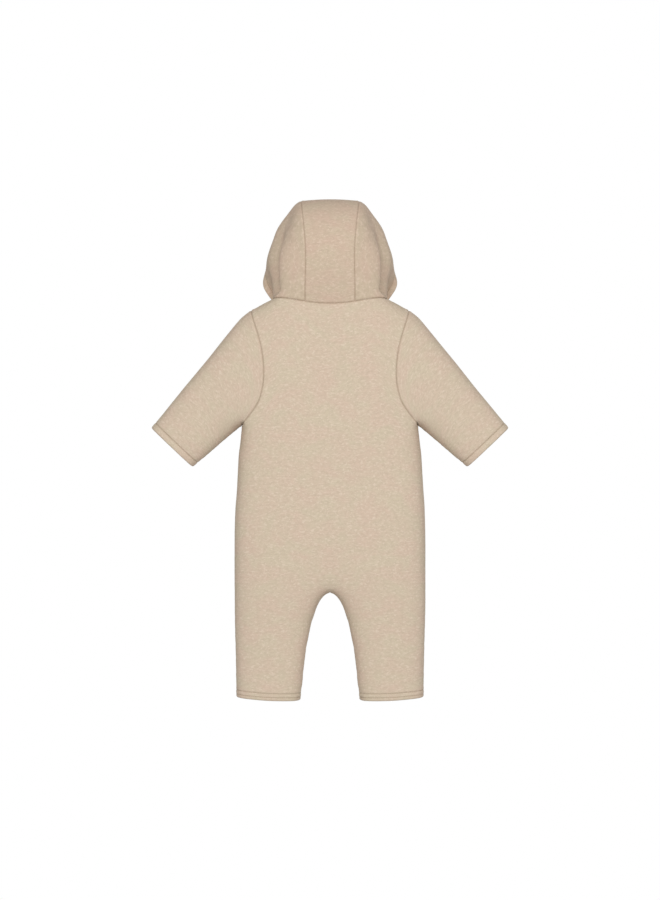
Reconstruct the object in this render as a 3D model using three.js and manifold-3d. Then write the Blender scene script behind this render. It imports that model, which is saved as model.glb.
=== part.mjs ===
// Hooded one-piece baby suit (coverall) in brushed fleece, size 68, with a centre-front coil zip.
// Units are millimetres, +Z up, the wearer faces -Y, so the wearer's left is +X.
// The shape is drawn in a pattern frame (z = 0 at the leg hems) and then moved so that the
// origin is the point where the hanger loop rests on a hook.
import * as THREE from "three";
import Module from "manifold-3d";

const wasm = await Module();
wasm.setup();

// ---------- driving sizes ----------
const CLOTH = 2.4; // brushed fleece thickness
const GAP = 0.4; // clearance kept between neighbouring pieces
const ARM_GAP = 1.1; // clearance along the armhole seam
const HEM = 12; // height of the turned hems at cuffs and legs
const HOOD_HEM = 10; // width of the hem round the face opening
const LEG_TOP = 152; // level of the hip fold, just above the crotch
const PUFF_A = 50, // how far the cloth stands out from the seams
  PUFF_B = 58;
const FRONT_FLAT = 35; // depth of the flat front panel
const ZIP_LOW = 214,
  ZIP_TOP = 523; // bottom stop and top stop of the zip
const ZIP_EDGE = 7; // half the gap between the two front edges
const SLIDER_Z = 512; // middle of the slider with the zip closed
const LOOP = { y: 27.5, z: 549 }; // where the hanger loop rests on a hook

// Half outline (x >= 0) in the pattern frame, x then z.
const SIDE = [[130.9, 4.5], [131.6, 40], [132.3, 73.5], [133.4, 115], [133.7, 152], [133.7, 225], [132.7, 267], [130.9, 292], [129.5, 317], [128.1, 342], [126, 359], [124.3, 374], [122.8, 385]];
const INNER_LEG = [[42, 0], [40, 15], [38.5, 23.1], [37.1, 39.9], [35, 56.7], [32.9, 73.5], [29.4, 90.3], [25.9, 107.1], [23.1, 115.5], [20.3, 123.9], [17.2, 132.3], [12.2, 141.2], [5.6, 148.2], [0, 150.5]];
const SLEEVE_LOW = [[122.8, 385], [133.7, 375.9], [153.3, 359.1], [172.9, 342.3], [192.5, 330.4 - 4.0]];
const SLEEVE_TOP = [[110.6, 545.3], [117.5, 540.6], [124.2, 535], [131, 527.2], [160, 491.6], [200, 442.5], [249.9, 380.8]];
const SHOULDER = [[80, 561.5], [92.4, 555.6], [102.6, 549.9], [110.6, 545.3]];
const ARMHOLE = [[110.6, 545.3], [106.6, 530.2], [98.4, 504.4], [93, 477.1], [92, 449.8], [94.6, 432.2], [99.8, 416.1], [110, 400.6], [119, 389.6], [122.8, 385]];
const NECK_BACK = [[0, 553.1], [18, 554], [33.6, 556], [52, 559.3], [68, 561.6], [80, 561.5]];
const NECK_FRONT = [[ZIP_EDGE, 528], [20, 528.6], [35, 531], [58, 538.5], [73, 549], [80, 561.5]];
const HEM_LINE = [[42, 0], [85, 1.2], [130.9, 4.5]];

// ---------- small curve tools ----------
const lerp = (a, b, t) => a.map((v, k) => v + (b[k] - v) * t);
const dist = (a, b) => Math.hypot(...a.map((v, k) => v - b[k]));
// Catmull-Rom line through the points, with per steps in each span
function smooth(pts, per = 8) {
  const n = pts.length, out = [];
  for (let i = 0; i < n - 1; i++) {
    const p1 = pts[i], p2 = pts[i + 1];
    const m1 = i > 0 ? p2.map((v, k) => (v - pts[i - 1][k]) / 2) : p2.map((v, k) => v - p1[k]);
    const m2 = i < n - 2 ? pts[i + 2].map((v, k) => (v - p1[k]) / 2) : p2.map((v, k) => v - p1[k]);
    for (let s = 0; s < per; s++) {
      const t = s / per, t2 = t * t, t3 = t2 * t;
      out.push(p1.map((v, k) => v * (2 * t3 - 3 * t2 + 1) + m1[k] * (t3 - 2 * t2 + t) + p2[k] * (-2 * t3 + 3 * t2) + m2[k] * (t3 - t2)));
    }
  }
  out.push(pts[n - 1].slice());
  return out;
}
// a function that gives the point at a share f of the line's length
function along(line) {
  const at = [0];
  for (let i = 1; i < line.length; i++) at.push(at[i - 1] + dist(line[i], line[i - 1]));
  const total = at[at.length - 1];
  const fn = (f) => {
    const d = Math.min(Math.max(f, 0), 1) * total;
    let i = 1;
    while (i < at.length - 1 && at[i] < d) i++;
    return lerp(line[i - 1], line[i], (d - at[i - 1]) / Math.max(at[i] - at[i - 1], 1e-9));
  };
  fn.length_mm = total;
  return fn;
}
const flip = (pts) => pts.slice().reverse();
const mirror = (pts) => pts.map(([x, z]) => [-x, z]);

// ---------- the stand-out of the cloth ----------
// u solves laplace(u) = -1 over the outline, 0 on the seams, so sqrt(2u) is a round section from seam to seam.
const STEP = 4, X_N = 76, Z_0 = -60, Z_N = 176;
const CUFF_DIR = [0.703, -0.711];
const cuffTop = SLEEVE_TOP[SLEEVE_TOP.length - 1], cuffLow = SLEEVE_LOW[SLEEVE_LOW.length - 1];
const stretch = (p, d) => [p[0] + CUFF_DIR[0] * d, p[1] + CUFF_DIR[1] * d];
const seams = [
  [[80, 641], [80, 561.5]],
  smooth(SHOULDER), smooth(SLEEVE_TOP), [cuffTop, stretch(cuffTop, 42)],
  [stretch(cuffLow, 42), cuffLow], flip(smooth(SLEEVE_LOW)), flip(smooth(SIDE)),
  [[130.9, 4.5], [130.4, -60]], [[42.6, -60], [42, 0]], smooth(INNER_LEG),
];
const outline = [[-9, 641], ...seams.flat(), [-9, 150.5]];
function inside(x, z) {
  let c = false;
  for (let i = 0, j = outline.length - 1; i < outline.length; j = i++) {
    const [xi, zi] = outline[i], [xj, zj] = outline[j];
    if (zi > z !== zj > z && x < ((xj - xi) * (z - zi)) / (zj - zi) + xi) c = !c;
  }
  return c;
}
function seamDistance(x, z) {
  x = Math.abs(x);
  let best = 1e9;
  for (const s of seams)
    for (let i = 1; i < s.length; i++) {
      const [ax, az] = s[i - 1], [bx, bz] = s[i];
      const dx = bx - ax, dz = bz - az;
      const t = Math.min(1, Math.max(0, ((x - ax) * dx + (z - az) * dz) / (dx * dx + dz * dz || 1)));
      best = Math.min(best, (x - ax - t * dx) ** 2 + (z - az - t * dz) ** 2);
    }
  return (inside(x, z) ? 1 : -1) * Math.sqrt(best);
}
const idx = (i, k) => k * X_N + i;
const D = new Float64Array(X_N * Z_N), U = new Float64Array(X_N * Z_N);
for (let k = 0; k < Z_N; k++) for (let i = 0; i < X_N; i++) D[idx(i, k)] = seamDistance(i * STEP, Z_0 + k * STEP);
for (let pass = 0; pass < 700; pass++)
  for (let k = 0; k < Z_N; k++)
    for (let i = 0; i < X_N - 1; i++) {
      const c = idx(i, k), d = D[c];
      if (d <= 0) continue;
      let sum = STEP * STEP, w = 4;
      for (const [a, b] of [[i - 1, k], [i + 1, k], [i, k - 1], [i, k + 1]]) {
        const kk = Math.min(Z_N - 1, Math.max(0, b)), q = idx(Math.abs(a), kk);
        if (D[q] > 0) sum += U[q];
        else w += Math.min(4, -D[q] / Math.max(d, 0.2 * STEP));
      }
      U[c] += 1.9 * (sum / w - U[c]);
    }
// near the seams u is written as distance times a smooth slope
const A = new Float64Array(X_N * Z_N), known = new Uint8Array(X_N * Z_N);
for (let c = 0; c < D.length; c++) if (D[c] > 0.9 * STEP) (A[c] = U[c] / D[c]), (known[c] = 1);
for (let pass = 0; pass < 6; pass++) {
  const had = known.slice();
  for (let k = 0; k < Z_N; k++)
    for (let i = 0; i < X_N; i++) {
      if (had[idx(i, k)]) continue;
      let sum = 0, n = 0;
      for (let a = -1; a < 2; a++)
        for (let b = -1; b < 2; b++) {
          const ii = Math.abs(i + a), kk = k + b;
          if (ii < X_N && kk >= 0 && kk < Z_N && had[idx(ii, kk)]) (sum += A[idx(ii, kk)]), n++;
        }
      if (n) (A[idx(i, k)] = sum / n), (known[idx(i, k)] = 1);
    }
}
function cubic(F, x, z) {
  const fx = Math.abs(x) / STEP, fz = (z - Z_0) / STEP;
  const i = Math.floor(fx), k = Math.floor(fz), tx = fx - i, tz = fz - k;
  const w = (t) => [(-t + 2 * t * t - t ** 3) / 2, (2 - 5 * t * t + 3 * t ** 3) / 2, (t + 4 * t * t - 3 * t ** 3) / 2, (-t * t + t ** 3) / 2];
  const wx = w(tx), wz = w(tz);
  let sum = 0;
  for (let b = 0; b < 4; b++)
    for (let a = 0; a < 4; a++) {
      const ii = Math.min(X_N - 1, Math.abs(i + a - 1)), kk = Math.min(Z_N - 1, Math.max(0, k + b - 1));
      sum += F[idx(ii, kk)] * wx[a] * wz[b];
    }
  return sum;
}
function u(x, z) {
  const d = seamDistance(x, z);
  const near = d * cubic(A, x, z);
  if (d < 5) return near;
  const t = Math.min(1, (d - 5) / 8), w = t * t * (3 - 2 * t);
  return near * (1 - w) + cubic(U, x, z) * w;
}
// the front keeps a flat middle
function flat(t) {
  if (t < 26) return [t, 1];
  if (t >= 38) return [FRONT_FLAT, 0];
  const q = (t - 26) / 12, a = 26, b = FRONT_FLAT, m = 12;
  return [a * (2 * q ** 3 - 3 * q * q + 1) + m * (q ** 3 - 2 * q * q + q) + b * (-2 * q ** 3 + 3 * q * q),
    (a * (6 * q * q - 6 * q) + m * (3 * q * q - 4 * q + 1) + b * (-6 * q * q + 6 * q)) / 12];
}
// the point of the cloth's outer face at (x, z), moved in by depth, on the back (side 1) or the front (side -1)
function cloth(x, z, side, depth = 0, onSeam = false) {
  const e = 0.5;
  const here = onSeam ? 0 : Math.max(0, u(x, z));
  const ux = (u(x + e, z) - u(x - e, z)) / (2 * e), uz = (u(x, z + e) - u(x, z - e)) / (2 * e);
  const s = Math.sqrt(2 * here);
  let h = PUFF_A * (1 - Math.exp(-s / PUFF_B)), k = (PUFF_A / PUFF_B) * Math.exp(-s / PUFF_B);
  if (side < 0) {
    const [fh, fk] = flat(h);
    h = fh;
    k *= fk;
  }
  // the gradient's length stands for the distance to the edge, so n is a true normal at the seam too
  const n = new THREE.Vector3(-ux * k * k, s < 1e-6 ? 0 : (k > 1e-9 ? h * 0 + s * k : 1), -uz * k * k);
  if (k < 1e-9) n.set(0, 1, 0);
  n.normalize();
  return [x - n.x * depth, side * (h - n.y * depth), z - n.z * depth];
}

// ---------- solids from grids ----------
// outer and inner are rows of points of the same shape; wrap joins each row's end to its start
function shell(outer, inner, wrap = false) {
  const m = outer.length, n = outer[0].length, pos = [], tri = [];
  for (const g of [outer, inner]) for (const row of g) for (const p of row) pos.push(...p);
  const o = (i, j) => i * n + (j % n), q = (i, j) => m * n + i * n + (j % n);
  const quad = (a, b, c, d) => tri.push(a, b, c, a, c, d);
  const cols = wrap ? n : n - 1;
  for (let i = 0; i < m - 1; i++)
    for (let j = 0; j < cols; j++) {
      quad(o(i, j), o(i, j + 1), o(i + 1, j + 1), o(i + 1, j));
      quad(q(i, j), q(i + 1, j), q(i + 1, j + 1), q(i, j + 1));
    }
  for (let j = 0; j < cols; j++) {
    quad(o(0, j), q(0, j), q(0, j + 1), o(0, j + 1));
    quad(o(m - 1, j), o(m - 1, j + 1), q(m - 1, j + 1), q(m - 1, j));
  }
  if (!wrap)
    for (let i = 0; i < m - 1; i++) {
      quad(o(i, 0), o(i + 1, 0), q(i + 1, 0), q(i, 0));
      quad(o(i, n - 1), q(i, n - 1), q(i + 1, n - 1), o(i + 1, n - 1));
    }
  let v = 0;
  const P = (i) => new THREE.Vector3(pos[3 * i], pos[3 * i + 1], pos[3 * i + 2]);
  for (let i = 0; i < tri.length; i += 3) v += P(tri[i]).dot(P(tri[i + 1]).cross(P(tri[i + 2])));
  if (v < 0) for (let i = 0; i < tri.length; i += 3) [tri[i + 1], tri[i + 2]] = [tri[i + 2], tri[i + 1]];
  const g = new THREE.BufferGeometry();
  g.setAttribute("position", new THREE.BufferAttribute(new Float32Array(pos), 3));
  g.setIndex(tri);
  return g;
}
// a grid over four edge lines: low and high run along u, left and right along v
function patch(low, high, left, right, us, vs) {
  const c00 = low(0), c10 = low(1), c01 = high(0), c11 = high(1);
  return vs.map((v) => us.map((s) => {
    const a = low(s), b = high(s), l = left(v), r = right(v);
    return a.map((_, k) => (1 - v) * a[k] + v * b[k] + (1 - s) * l[k] + s * r[k] - ((1 - s) * (1 - v) * c00[k] + s * (1 - v) * c10[k] + (1 - s) * v * c01[k] + s * v * c11[k]));
  }));
}
const spread = (n, edge = 0.6) => Array.from({ length: n + 1 }, (_, i) => edge * (0.5 - 0.5 * Math.cos((Math.PI * i) / n)) + (1 - edge) * (i / n));
const even = (n, a = 0, b = 1) => Array.from({ length: n + 1 }, (_, i) => a + ((b - a) * i) / n);

// one panel of cloth over a grid of pattern points; seam(i, j) says which points lie on a side seam
function panel(grid, side, seam, t0 = 0, t1 = CLOTH) {
  const put = (depth) => grid.map((row, i) => row.map(([x, z], j) => {
    const on = seam(i, j);
    const p = cloth(x, z, side, depth, on);
    if (side * p[1] < GAP / 2) p[1] = (side * GAP) / 2;
    return p;
  }));
  return shell(put(t0), put(t1));
}
// a tube of cloth: each row goes over the front from the first edge to the second and returns over the back
function tube(grid, t0 = 0, t1 = CLOTH) {
  const put = (depth) => grid.map((row) => {
    const n = row.length;
    const front = row.map(([x, z], j) => cloth(x, z, -1, depth, j === 0 || j === n - 1));
    const back = row.map(([x, z], j) => cloth(x, z, 1, depth, j === 0 || j === n - 1));
    front[0][1] = 0;
    front[n - 1][1] = 0;
    return [...front, ...flip(back.slice(1, n - 1))];
  });
  return shell(put(t0), put(t1), true);
}

// ---------- pattern edges ----------
const sideLine = smooth(SIDE);
const cutLine = (line, from, to) => {
  const f = along(line);
  return along(even(24, from, to).map(f));
};
const zAt = (line, z) => {
  // share of the line's length where it crosses level z
  const f = along(line);
  let lo = 0, hi = 1;
  const up = f(1)[1] > f(0)[1];
  for (let i = 0; i < 40; i++) {
    const m = (lo + hi) / 2;
    if (f(m)[1] < z === up) lo = m;
    else hi = m;
  }
  return lo;
};
// the line moved square to itself by d, to the left of its direction for a positive d
const aside = (pts, d) => pts.map(([x, z], i) => {
  const a = pts[Math.max(0, i - 1)], b = pts[Math.min(pts.length - 1, i + 1)];
  const l = Math.hypot(b[0] - a[0], b[1] - a[1]) || 1;
  return [x - ((b[1] - a[1]) / l) * d, z + ((b[0] - a[0]) / l) * d];
});
// torso: the right-hand edge (x > 0) runs up the side seam, then along the armhole to the shoulder point
const torsoEdge = [...even(20, zAt(sideLine, LEG_TOP + GAP / 2), zAt(sideLine, 383.2)).map(along(sideLine)), ...aside(smooth(flip(ARMHOLE)), ARM_GAP).slice(3)];
const SEAM_PART = along(torsoEdge.slice(0, 21)).length_mm / along(torsoEdge).length_mm;
const shoulderTop = smooth(flip(SHOULDER)).map(([x, z]) => [x - GAP, z]);
const neckBack = smooth(NECK_BACK), neckFront = smooth(NECK_FRONT);

const group = new THREE.Group();
const mat = (hex, rough = 0.95, metal = 0) => new THREE.MeshStandardMaterial({ color: hex, roughness: rough, metalness: metal });
const FLEECE = 0xd3c1ab, TAPE = 0xcdbba5, COIL = 0xc9b79f, METAL = 0xb9b4ab, LABEL = 0xf2efe8;
const add = (name, geometry, colour, rough, metal) => {
  const m = new THREE.Mesh(geometry, mat(colour, rough, metal));
  m.name = name;
  m.position.set(0, -LOOP.y, -LOOP.z);
  group.add(m);
  return m;
};

// ---------- torso ----------
{
  const right = along(torsoEdge), left = along(mirror(torsoEdge));
  const top = [...mirror(shoulderTop), ...mirror(flip(neckBack)).slice(1), ...neckBack.slice(1), ...flip(shoulderTop).slice(1)];
  const low = along([[-torsoEdge[0][0], LEG_TOP + GAP / 2], [torsoEdge[0][0], LEG_TOP + GAP / 2]]);
  const us = spread(18), vs = [...even(9, 0, SEAM_PART), ...even(8, SEAM_PART, 1).slice(1)];
  const n = us.length - 1, m = vs.length - 1;
  const g = patch(low, along(top), left, right, us, vs);
  const onSeam = (i, j) => ((j === 0 || j === n) && vs[i] <= SEAM_PART + 1e-6) || (i === m && Math.abs(g[i][j][0]) >= 79.9);
  add("back_panel", panel(g, 1, onSeam), FLEECE);
  for (const [name, sgn] of [["front_left_panel", 1], ["front_right_panel", -1]]) {
    const centre = [[GAP / 2, LEG_TOP + GAP / 2], [GAP / 2, 180], [GAP / 2, 198], [1.2, 202], [ZIP_EDGE - 1, 209], [ZIP_EDGE, 213], [ZIP_EDGE, 300], [ZIP_EDGE, 400], [ZIP_EDGE, 528]];
    const topF = [...neckFront, ...flip(shoulderTop).slice(1)];
    const vf = [...even(10, 0, SEAM_PART), ...even(8, SEAM_PART, 1).slice(1)], uf = spread(9, 0.3);
    const gf = patch(along([[GAP / 2, LEG_TOP + GAP / 2], [torsoEdge[0][0], LEG_TOP + GAP / 2]]), along(topF), along(centre), right, uf, vf);
    const k = uf.length - 1, mm = vf.length - 1;
    const seamF = (i, j) => (j === k && vf[i] <= SEAM_PART + 1e-6) || (i === mm && Math.abs(gf[i][j][0]) >= 79.9);
    add(name, panel(gf.map((r) => r.map(([x, z]) => [sgn * x, z])), -1, seamF), FLEECE);
  }
}

// ---------- sleeves ----------
const topLine = smooth(SLEEVE_TOP), lowLine = smooth(SLEEVE_LOW), armLine = smooth(ARMHOLE);
const hemShare = (line) => 1 - HEM / along(line).length_mm;
for (const [who, sgn] of [["left", 1], ["right", -1]]) {
  const tT = hemShare(topLine), tL = hemShare(lowLine);
  const gapT = 1 - (HEM + GAP) / along(topLine).length_mm, gapL = 1 - (HEM + GAP) / along(lowLine).length_mm;
  const us = spread(9, 0.75);
  const body = patch(along(armLine), along([along(topLine)(gapT), along(lowLine)(gapL)]), cutLine(topLine, 0, gapT), cutLine(lowLine, 0, gapL), us, even(8));
  const cuff = patch(along([along(topLine)(tT), along(lowLine)(tL)]), along([cuffTop, cuffLow]), cutLine(topLine, tT, 1), cutLine(lowLine, tL, 1), us, even(1));
  const side = (g) => g.map((r) => r.map(([x, z]) => [sgn * x, z]));
  add(`${who}_sleeve`, tube(side(body)), FLEECE);
  add(`${who}_cuff_hem`, tube(side(cuff), 0, 2 * CLOTH), FLEECE);
}

// ---------- legs ----------
const innerLine = smooth(INNER_LEG);
for (const [who, sgn] of [["left", 1], ["right", -1]]) {
  const top = LEG_TOP - GAP / 2 - 2.2; // the crotch seam closes between here and the torso
  const sIn = zAt(innerLine, HEM + GAP), eIn = zAt(innerLine, top), sOut = zAt(sideLine, HEM + GAP + 4.5), eOut = zAt(sideLine, top);
  const inner = cutLine(innerLine, sIn, eIn), outer = cutLine(sideLine, sOut, eOut);
  const hemUp = smooth(HEM_LINE).map(([x, z]) => [x, z + HEM + GAP]);
  hemUp[0] = inner(0);
  hemUp[hemUp.length - 1] = outer(0);
  const us = spread(8, 0.75);
  const g = patch(along(hemUp), along([inner(1), outer(1)]), inner, outer, us, even(7)).map((r) => r.map(([x, z]) => [sgn * x, z]));
  const seam = (i, j) => j === 0 || j === us.length - 1;
  add(`${who}_leg_back`, panel(g, 1, seam), FLEECE);
  add(`${who}_leg_front`, panel(g, -1, seam), FLEECE);
  const hIn = zAt(innerLine, HEM), hOut = zAt(sideLine, HEM + 4.5);
  const inner2 = cutLine(innerLine, 0, hIn), outer2 = cutLine(sideLine, 0, hOut);
  const up2 = smooth(HEM_LINE).map(([x, z]) => [x, z + HEM]);
  up2[0] = inner2(1);
  up2[up2.length - 1] = outer2(1);
  const hem = patch(along(smooth(HEM_LINE)), along(up2), inner2, outer2, us, even(1)).map((r) => r.map(([x, z]) => [sgn * x, z]));
  add(`${who}_leg_hem`, tube(hem, 0, 2 * CLOTH), FLEECE);
}

// ---------- hood ----------
const V = (p) => new THREE.Vector3(...p);
const RISE = 1.5; // the hood's edge stands this far above the neck seam
const SEAM_X = 34.7;
const ringPoint = ([x, z], side) => {
  const p = cloth(x, z, side, 0, x >= 79.99);
  return [p[0], p[1], z + RISE];
};
const ringFront = smooth(NECK_FRONT, 6).map((p) => ringPoint(p, -1));
const ringBack = smooth(NECK_BACK, 6).map((p) => ringPoint(p, 1)); // from the centre out
const backAt = (x) => {
  const line = smooth(NECK_BACK, 24);
  let i = 1;
  while (i < line.length - 1 && line[i][0] < x) i++;
  const t = (x - line[i - 1][0]) / (line[i][0] - line[i - 1][0] || 1);
  return ringPoint([x, line[i - 1][1] + (line[i][1] - line[i - 1][1]) * t], 1);
};
const A_PT = backAt(SEAM_X);
const ringLine = along([...ringFront, ...flip(ringBack).filter((p) => p[0] > SEAM_X && p[0] < 79.9), A_PT]);
const PROFILE = [A_PT, [34.6, 48, 580], [34, 54.5, 605], [34.2, 56.5, 630], [36, 52.5, 655], [38.2, 42, 676], [39.8, 25, 691], [40.6, 4, 698], [40.8, -20, 699], [40.7, -44, 697], [40.6, -63, 693]];
const profile = along(smooth(PROFILE));
const D_PT = ringFront[0];
const FACE = [D_PT, [20, -38.5, 533.5], [38, -39.5, 540.6], [54, -40.5, 549.2], [66, -41.5, 558.6], [74.5, -42.5, 567], [81.5, -43.5, 576.5], [87.5, -45, 586.5], [91, -47.5, 596.5], [91, -51, 607.5], [88.4, -54.5, 621], [84, -58, 636], [78, -61.5, 651], [69.5, -63.5, 666], [59, -64.5, 680], [49, -64, 689], PROFILE[PROFILE.length - 1]];
const face = along(smooth(FACE));
// a soft upright fold down each side, and a slightly slimmer crown
const ramp = (v) => { const t = Math.min(1, Math.max(0, v)); return t * t * (3 - 2 * t); };
const FOLD = 12;
function formed([x, y, z]) {
  const high = ramp((z - 561.5) / 13) * Math.min(1, Math.max(0, (692 - z) / 58));
  const w = y > 15 ? 15 : 11;
  const slim = 4 * ramp((z - 615) / 35) * ramp((704 - z) / 18) * ramp((x - 42) / 26) * ramp((y + 66) / 30);
  return [x - FOLD * high * ramp((x - 36) / 30) * Math.exp(-(((y - 15) / w) ** 2)) - slim, y, z];
}
function hoodSide(alpha, rho) {
  const n = ringLine(rho), f = face(rho), s = profile(alpha), b = PROFILE[PROFILE.length - 1];
  return formed(n.map((v, k) => (1 - alpha) * v + alpha * f[k] + rho * (s[k] - (1 - alpha) * A_PT[k] - alpha * b[k])));
}
function hoodNormal(alpha, rho) {
  const e = 0.004, r = Math.min(Math.max(rho, 0.03), 0.99), a = Math.min(Math.max(alpha, 0.01), 0.99);
  const da = V(hoodSide(a + e, r)).sub(V(hoodSide(a - e, r))), dr = V(hoodSide(a, r + e)).sub(V(hoodSide(a, r - e)));
  const n = da.cross(dr).normalize();
  return n.dot(new THREE.Vector3(1, 0.3, 0.5)) < 0 ? n.negate() : n;
}
function profileNormal(alpha) {
  const e = 0.01, t = V(profile(Math.min(1, alpha + e))).sub(V(profile(Math.max(0, alpha - e))));
  return new THREE.Vector3(0, t.z, -t.y).normalize();
}
const seamNormal = (alpha) => profileNormal(alpha).add(hoodNormal(alpha, 0.985)).normalize();
const levelled = (n, share) => new THREE.Vector3(n.x, n.y, n.z * share).normalize();
{
  const as = even(16), rs = [0.02, ...even(20, 0.085, 1)];
  for (const [name, sgn] of [["hood_left_panel", 1], ["hood_right_panel", -1]]) {
    const outer = [], inner = [];
    for (const a of as) {
      const ro = [], ri = [];
      for (const r of rs) {
        const p = V(hoodSide(a, r));
        let n = r >= 1 ? seamNormal(a) : hoodNormal(a, r);
        if (a === 0) n = levelled(n, 0);
        else if (a < 0.1) n = levelled(n, 0.6);
        if (r >= 1) p.x += GAP / 2;
        const q = p.clone().addScaledVector(n, -CLOTH);
        if (r >= 1) q.x = Math.max(q.x, p.x - 40);
        ro.push([sgn * p.x, p.y, p.z]);
        ri.push([sgn * q.x, q.y, q.z]);
      }
      outer.push(ro);
      inner.push(ri);
    }
    add(name, shell(outer, inner), FLEECE);
  }
  // centre panel: a strip over the crown between the two seams
  const ts = even(6, -1, 1), outer = [], inner = [];
  for (const a of even(18)) {
    const s = profile(a), w = s[0] - GAP / 2, pn = profileNormal(a), sn = seamNormal(a), ro = [], ri = [];
    for (const t of ts) {
      const bulge = 2.6 * (1 - t * t) * Math.min(1, a / 0.15);
      const p = V([w * t, s[1], s[2]]).addScaledVector(pn, bulge);
      if (a < 0.2) {
        const q = 1 - a / 0.2, ring = backAt(Math.abs(w * t));
        const c = q * q * (3 - 2 * q);
        p.y += c * (ring[1] - A_PT[1]);
        p.z += c * (ring[2] - A_PT[2]);
      }
      const edge = Math.abs(t) ** 2, n = new THREE.Vector3(Math.sign(t) * sn.x * edge, pn.y * (1 - edge) + sn.y * edge, pn.z * (1 - edge) + sn.z * edge).normalize();
      if (a === 0) n.z = 0;
      const q2 = p.clone().addScaledVector(n.normalize(), -CLOTH);
      ro.push(p.toArray());
      ri.push(q2.toArray());
    }
    outer.push(ro);
    inner.push(ri);
  }
  add("hood_center_panel", shell(outer, inner), FLEECE);
  // hem round the face opening, from one end of the neck seam over the crown to the other
  const half = [];
  const firm = (r) => {
    const rr = Math.min(0.985, Math.max(r, 0.12)), e = 0.01;
    const ta = V(hoodSide(1, rr)).sub(V(hoodSide(0.97, rr))), tf = V(face(rr + e)).sub(V(face(rr - e))).normalize();
    ta.addScaledVector(tf, -ta.dot(tf)).normalize();
    // the lower corners flare outwards
    const z = face(r)[2], flare = ramp((z - 548) / 16) * ramp((604 - z) / 18);
    return ta.multiplyScalar(1 - flare).addScaledVector(V([0.8, -0.25, -0.55]), flare).normalize();
  };
  for (const r of even(20, 0.03, 1)) {
    const n = r >= 1 ? seamNormal(1) : hoodNormal(1, Math.min(r, 0.985));
    const T = firm(r), p = V(hoodSide(1, r)).addScaledVector(T, 1.5 * GAP);
    half.push({ p, q: p.clone().addScaledVector(T, HOOD_HEM), n });
  }
  const end = profile(1), pn = profileNormal(1), fwd = V(profile(1)).sub(V(profile(0.96)));
  fwd.x = 0;
  fwd.normalize();
  const middle = even(4, 1, -1).slice(1, -1).map((t) => {
    const p = V([end[0] * t, end[1], end[2]]).addScaledVector(pn, 2.6 * (1 - t * t)).addScaledVector(fwd, 1.5 * GAP);
    return { p, q: p.clone().addScaledVector(fwd, HOOD_HEM), n: pn };
  });
  const other = flip(half).map(({ p, q, n }) => ({ p: V([-p.x, p.y, p.z]), q: V([-q.x, q.y, q.z]), n: V([-n.x, n.y, n.z]) }));
  const all = [...half, ...middle, ...other];
  const o = [all.map(({ p }) => p.toArray()), all.map(({ q }) => q.toArray())];
  const i = [all.map(({ p, n }) => p.clone().addScaledVector(n, -2 * CLOTH).toArray()), all.map(({ q, n }) => q.clone().addScaledVector(n, -2 * CLOTH).toArray())];
  add("hood_hem", shell(o, i), FLEECE);
}

// ---------- small parts: boxes joined with booleans ----------
function solidBox(x0, x1, y0, y1, z0, z1) {
  const g = new THREE.BoxGeometry(x1 - x0, y1 - y0, z1 - z0);
  g.translate((x0 + x1) / 2, (y0 + y1) / 2, (z0 + z1) / 2);
  return g;
}
async function solid(g) {
  const c = g.clone();
  c.deleteAttribute("normal");
  c.deleteAttribute("uv");
  const { mergeVertices } = await import("three/addons/utils/BufferGeometryUtils.js");
  const m = mergeVertices(c);
  return new wasm.Manifold(new wasm.Mesh({ numProp: 3, vertProperties: new Float32Array(m.attributes.position.array), triVerts: new Uint32Array(m.index.array) }));
}
function geometryOf(man) {
  const m = man.getMesh();
  const g = new THREE.BufferGeometry();
  g.setAttribute("position", new THREE.BufferAttribute(new Float32Array(m.vertProperties), 3));
  g.setIndex(Array.from(m.triVerts));
  return g;
}
// inside finish of the back neck
{
  const rows = [12, 2.5].map((drop) => even(10, -46, 46).map((x) => {
    const line = smooth(NECK_BACK, 24), ax = Math.abs(x);
    let i = 1;
    while (i < line.length - 1 && line[i][0] < ax) i++;
    const t = (ax - line[i - 1][0]) / (line[i][0] - line[i - 1][0] || 1);
    return [x, line[i - 1][1] + (line[i][1] - line[i - 1][1]) * t - drop];
  }));
  add("back_neck_tape", panel(rows, 1, () => false, CLOTH + 0.7, CLOTH + 1.9), TAPE);
}
// hanger loop: a flat tape whose two ends meet the neck tape and whose middle stands off it
{
  const pts = [[-30, 34.1], [-24, 33.6], [-19, 30.6], [-13, 27.6], [0, 26.6], [13, 27.6], [19, 30.6], [24, 33.6], [30, 34.1]];
  const line = smooth(pts, 3), out = [], inn = [];
  for (const z of [544, 549]) {
    out.push(line.map(([x, y]) => [x, y + 0.6, z]));
    inn.push(line.map(([x, y]) => [x, y - 0.6, z]));
  }
  add("hanger_loop", shell(out, inn), TAPE);
}
add("size_label", solidBox(-9, 9, 34.2, 34.8, 510, 539), LABEL);
add("care_label", solidBox(96, 127, -0.5, 0.3, 258, 286), LABEL);

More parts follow.
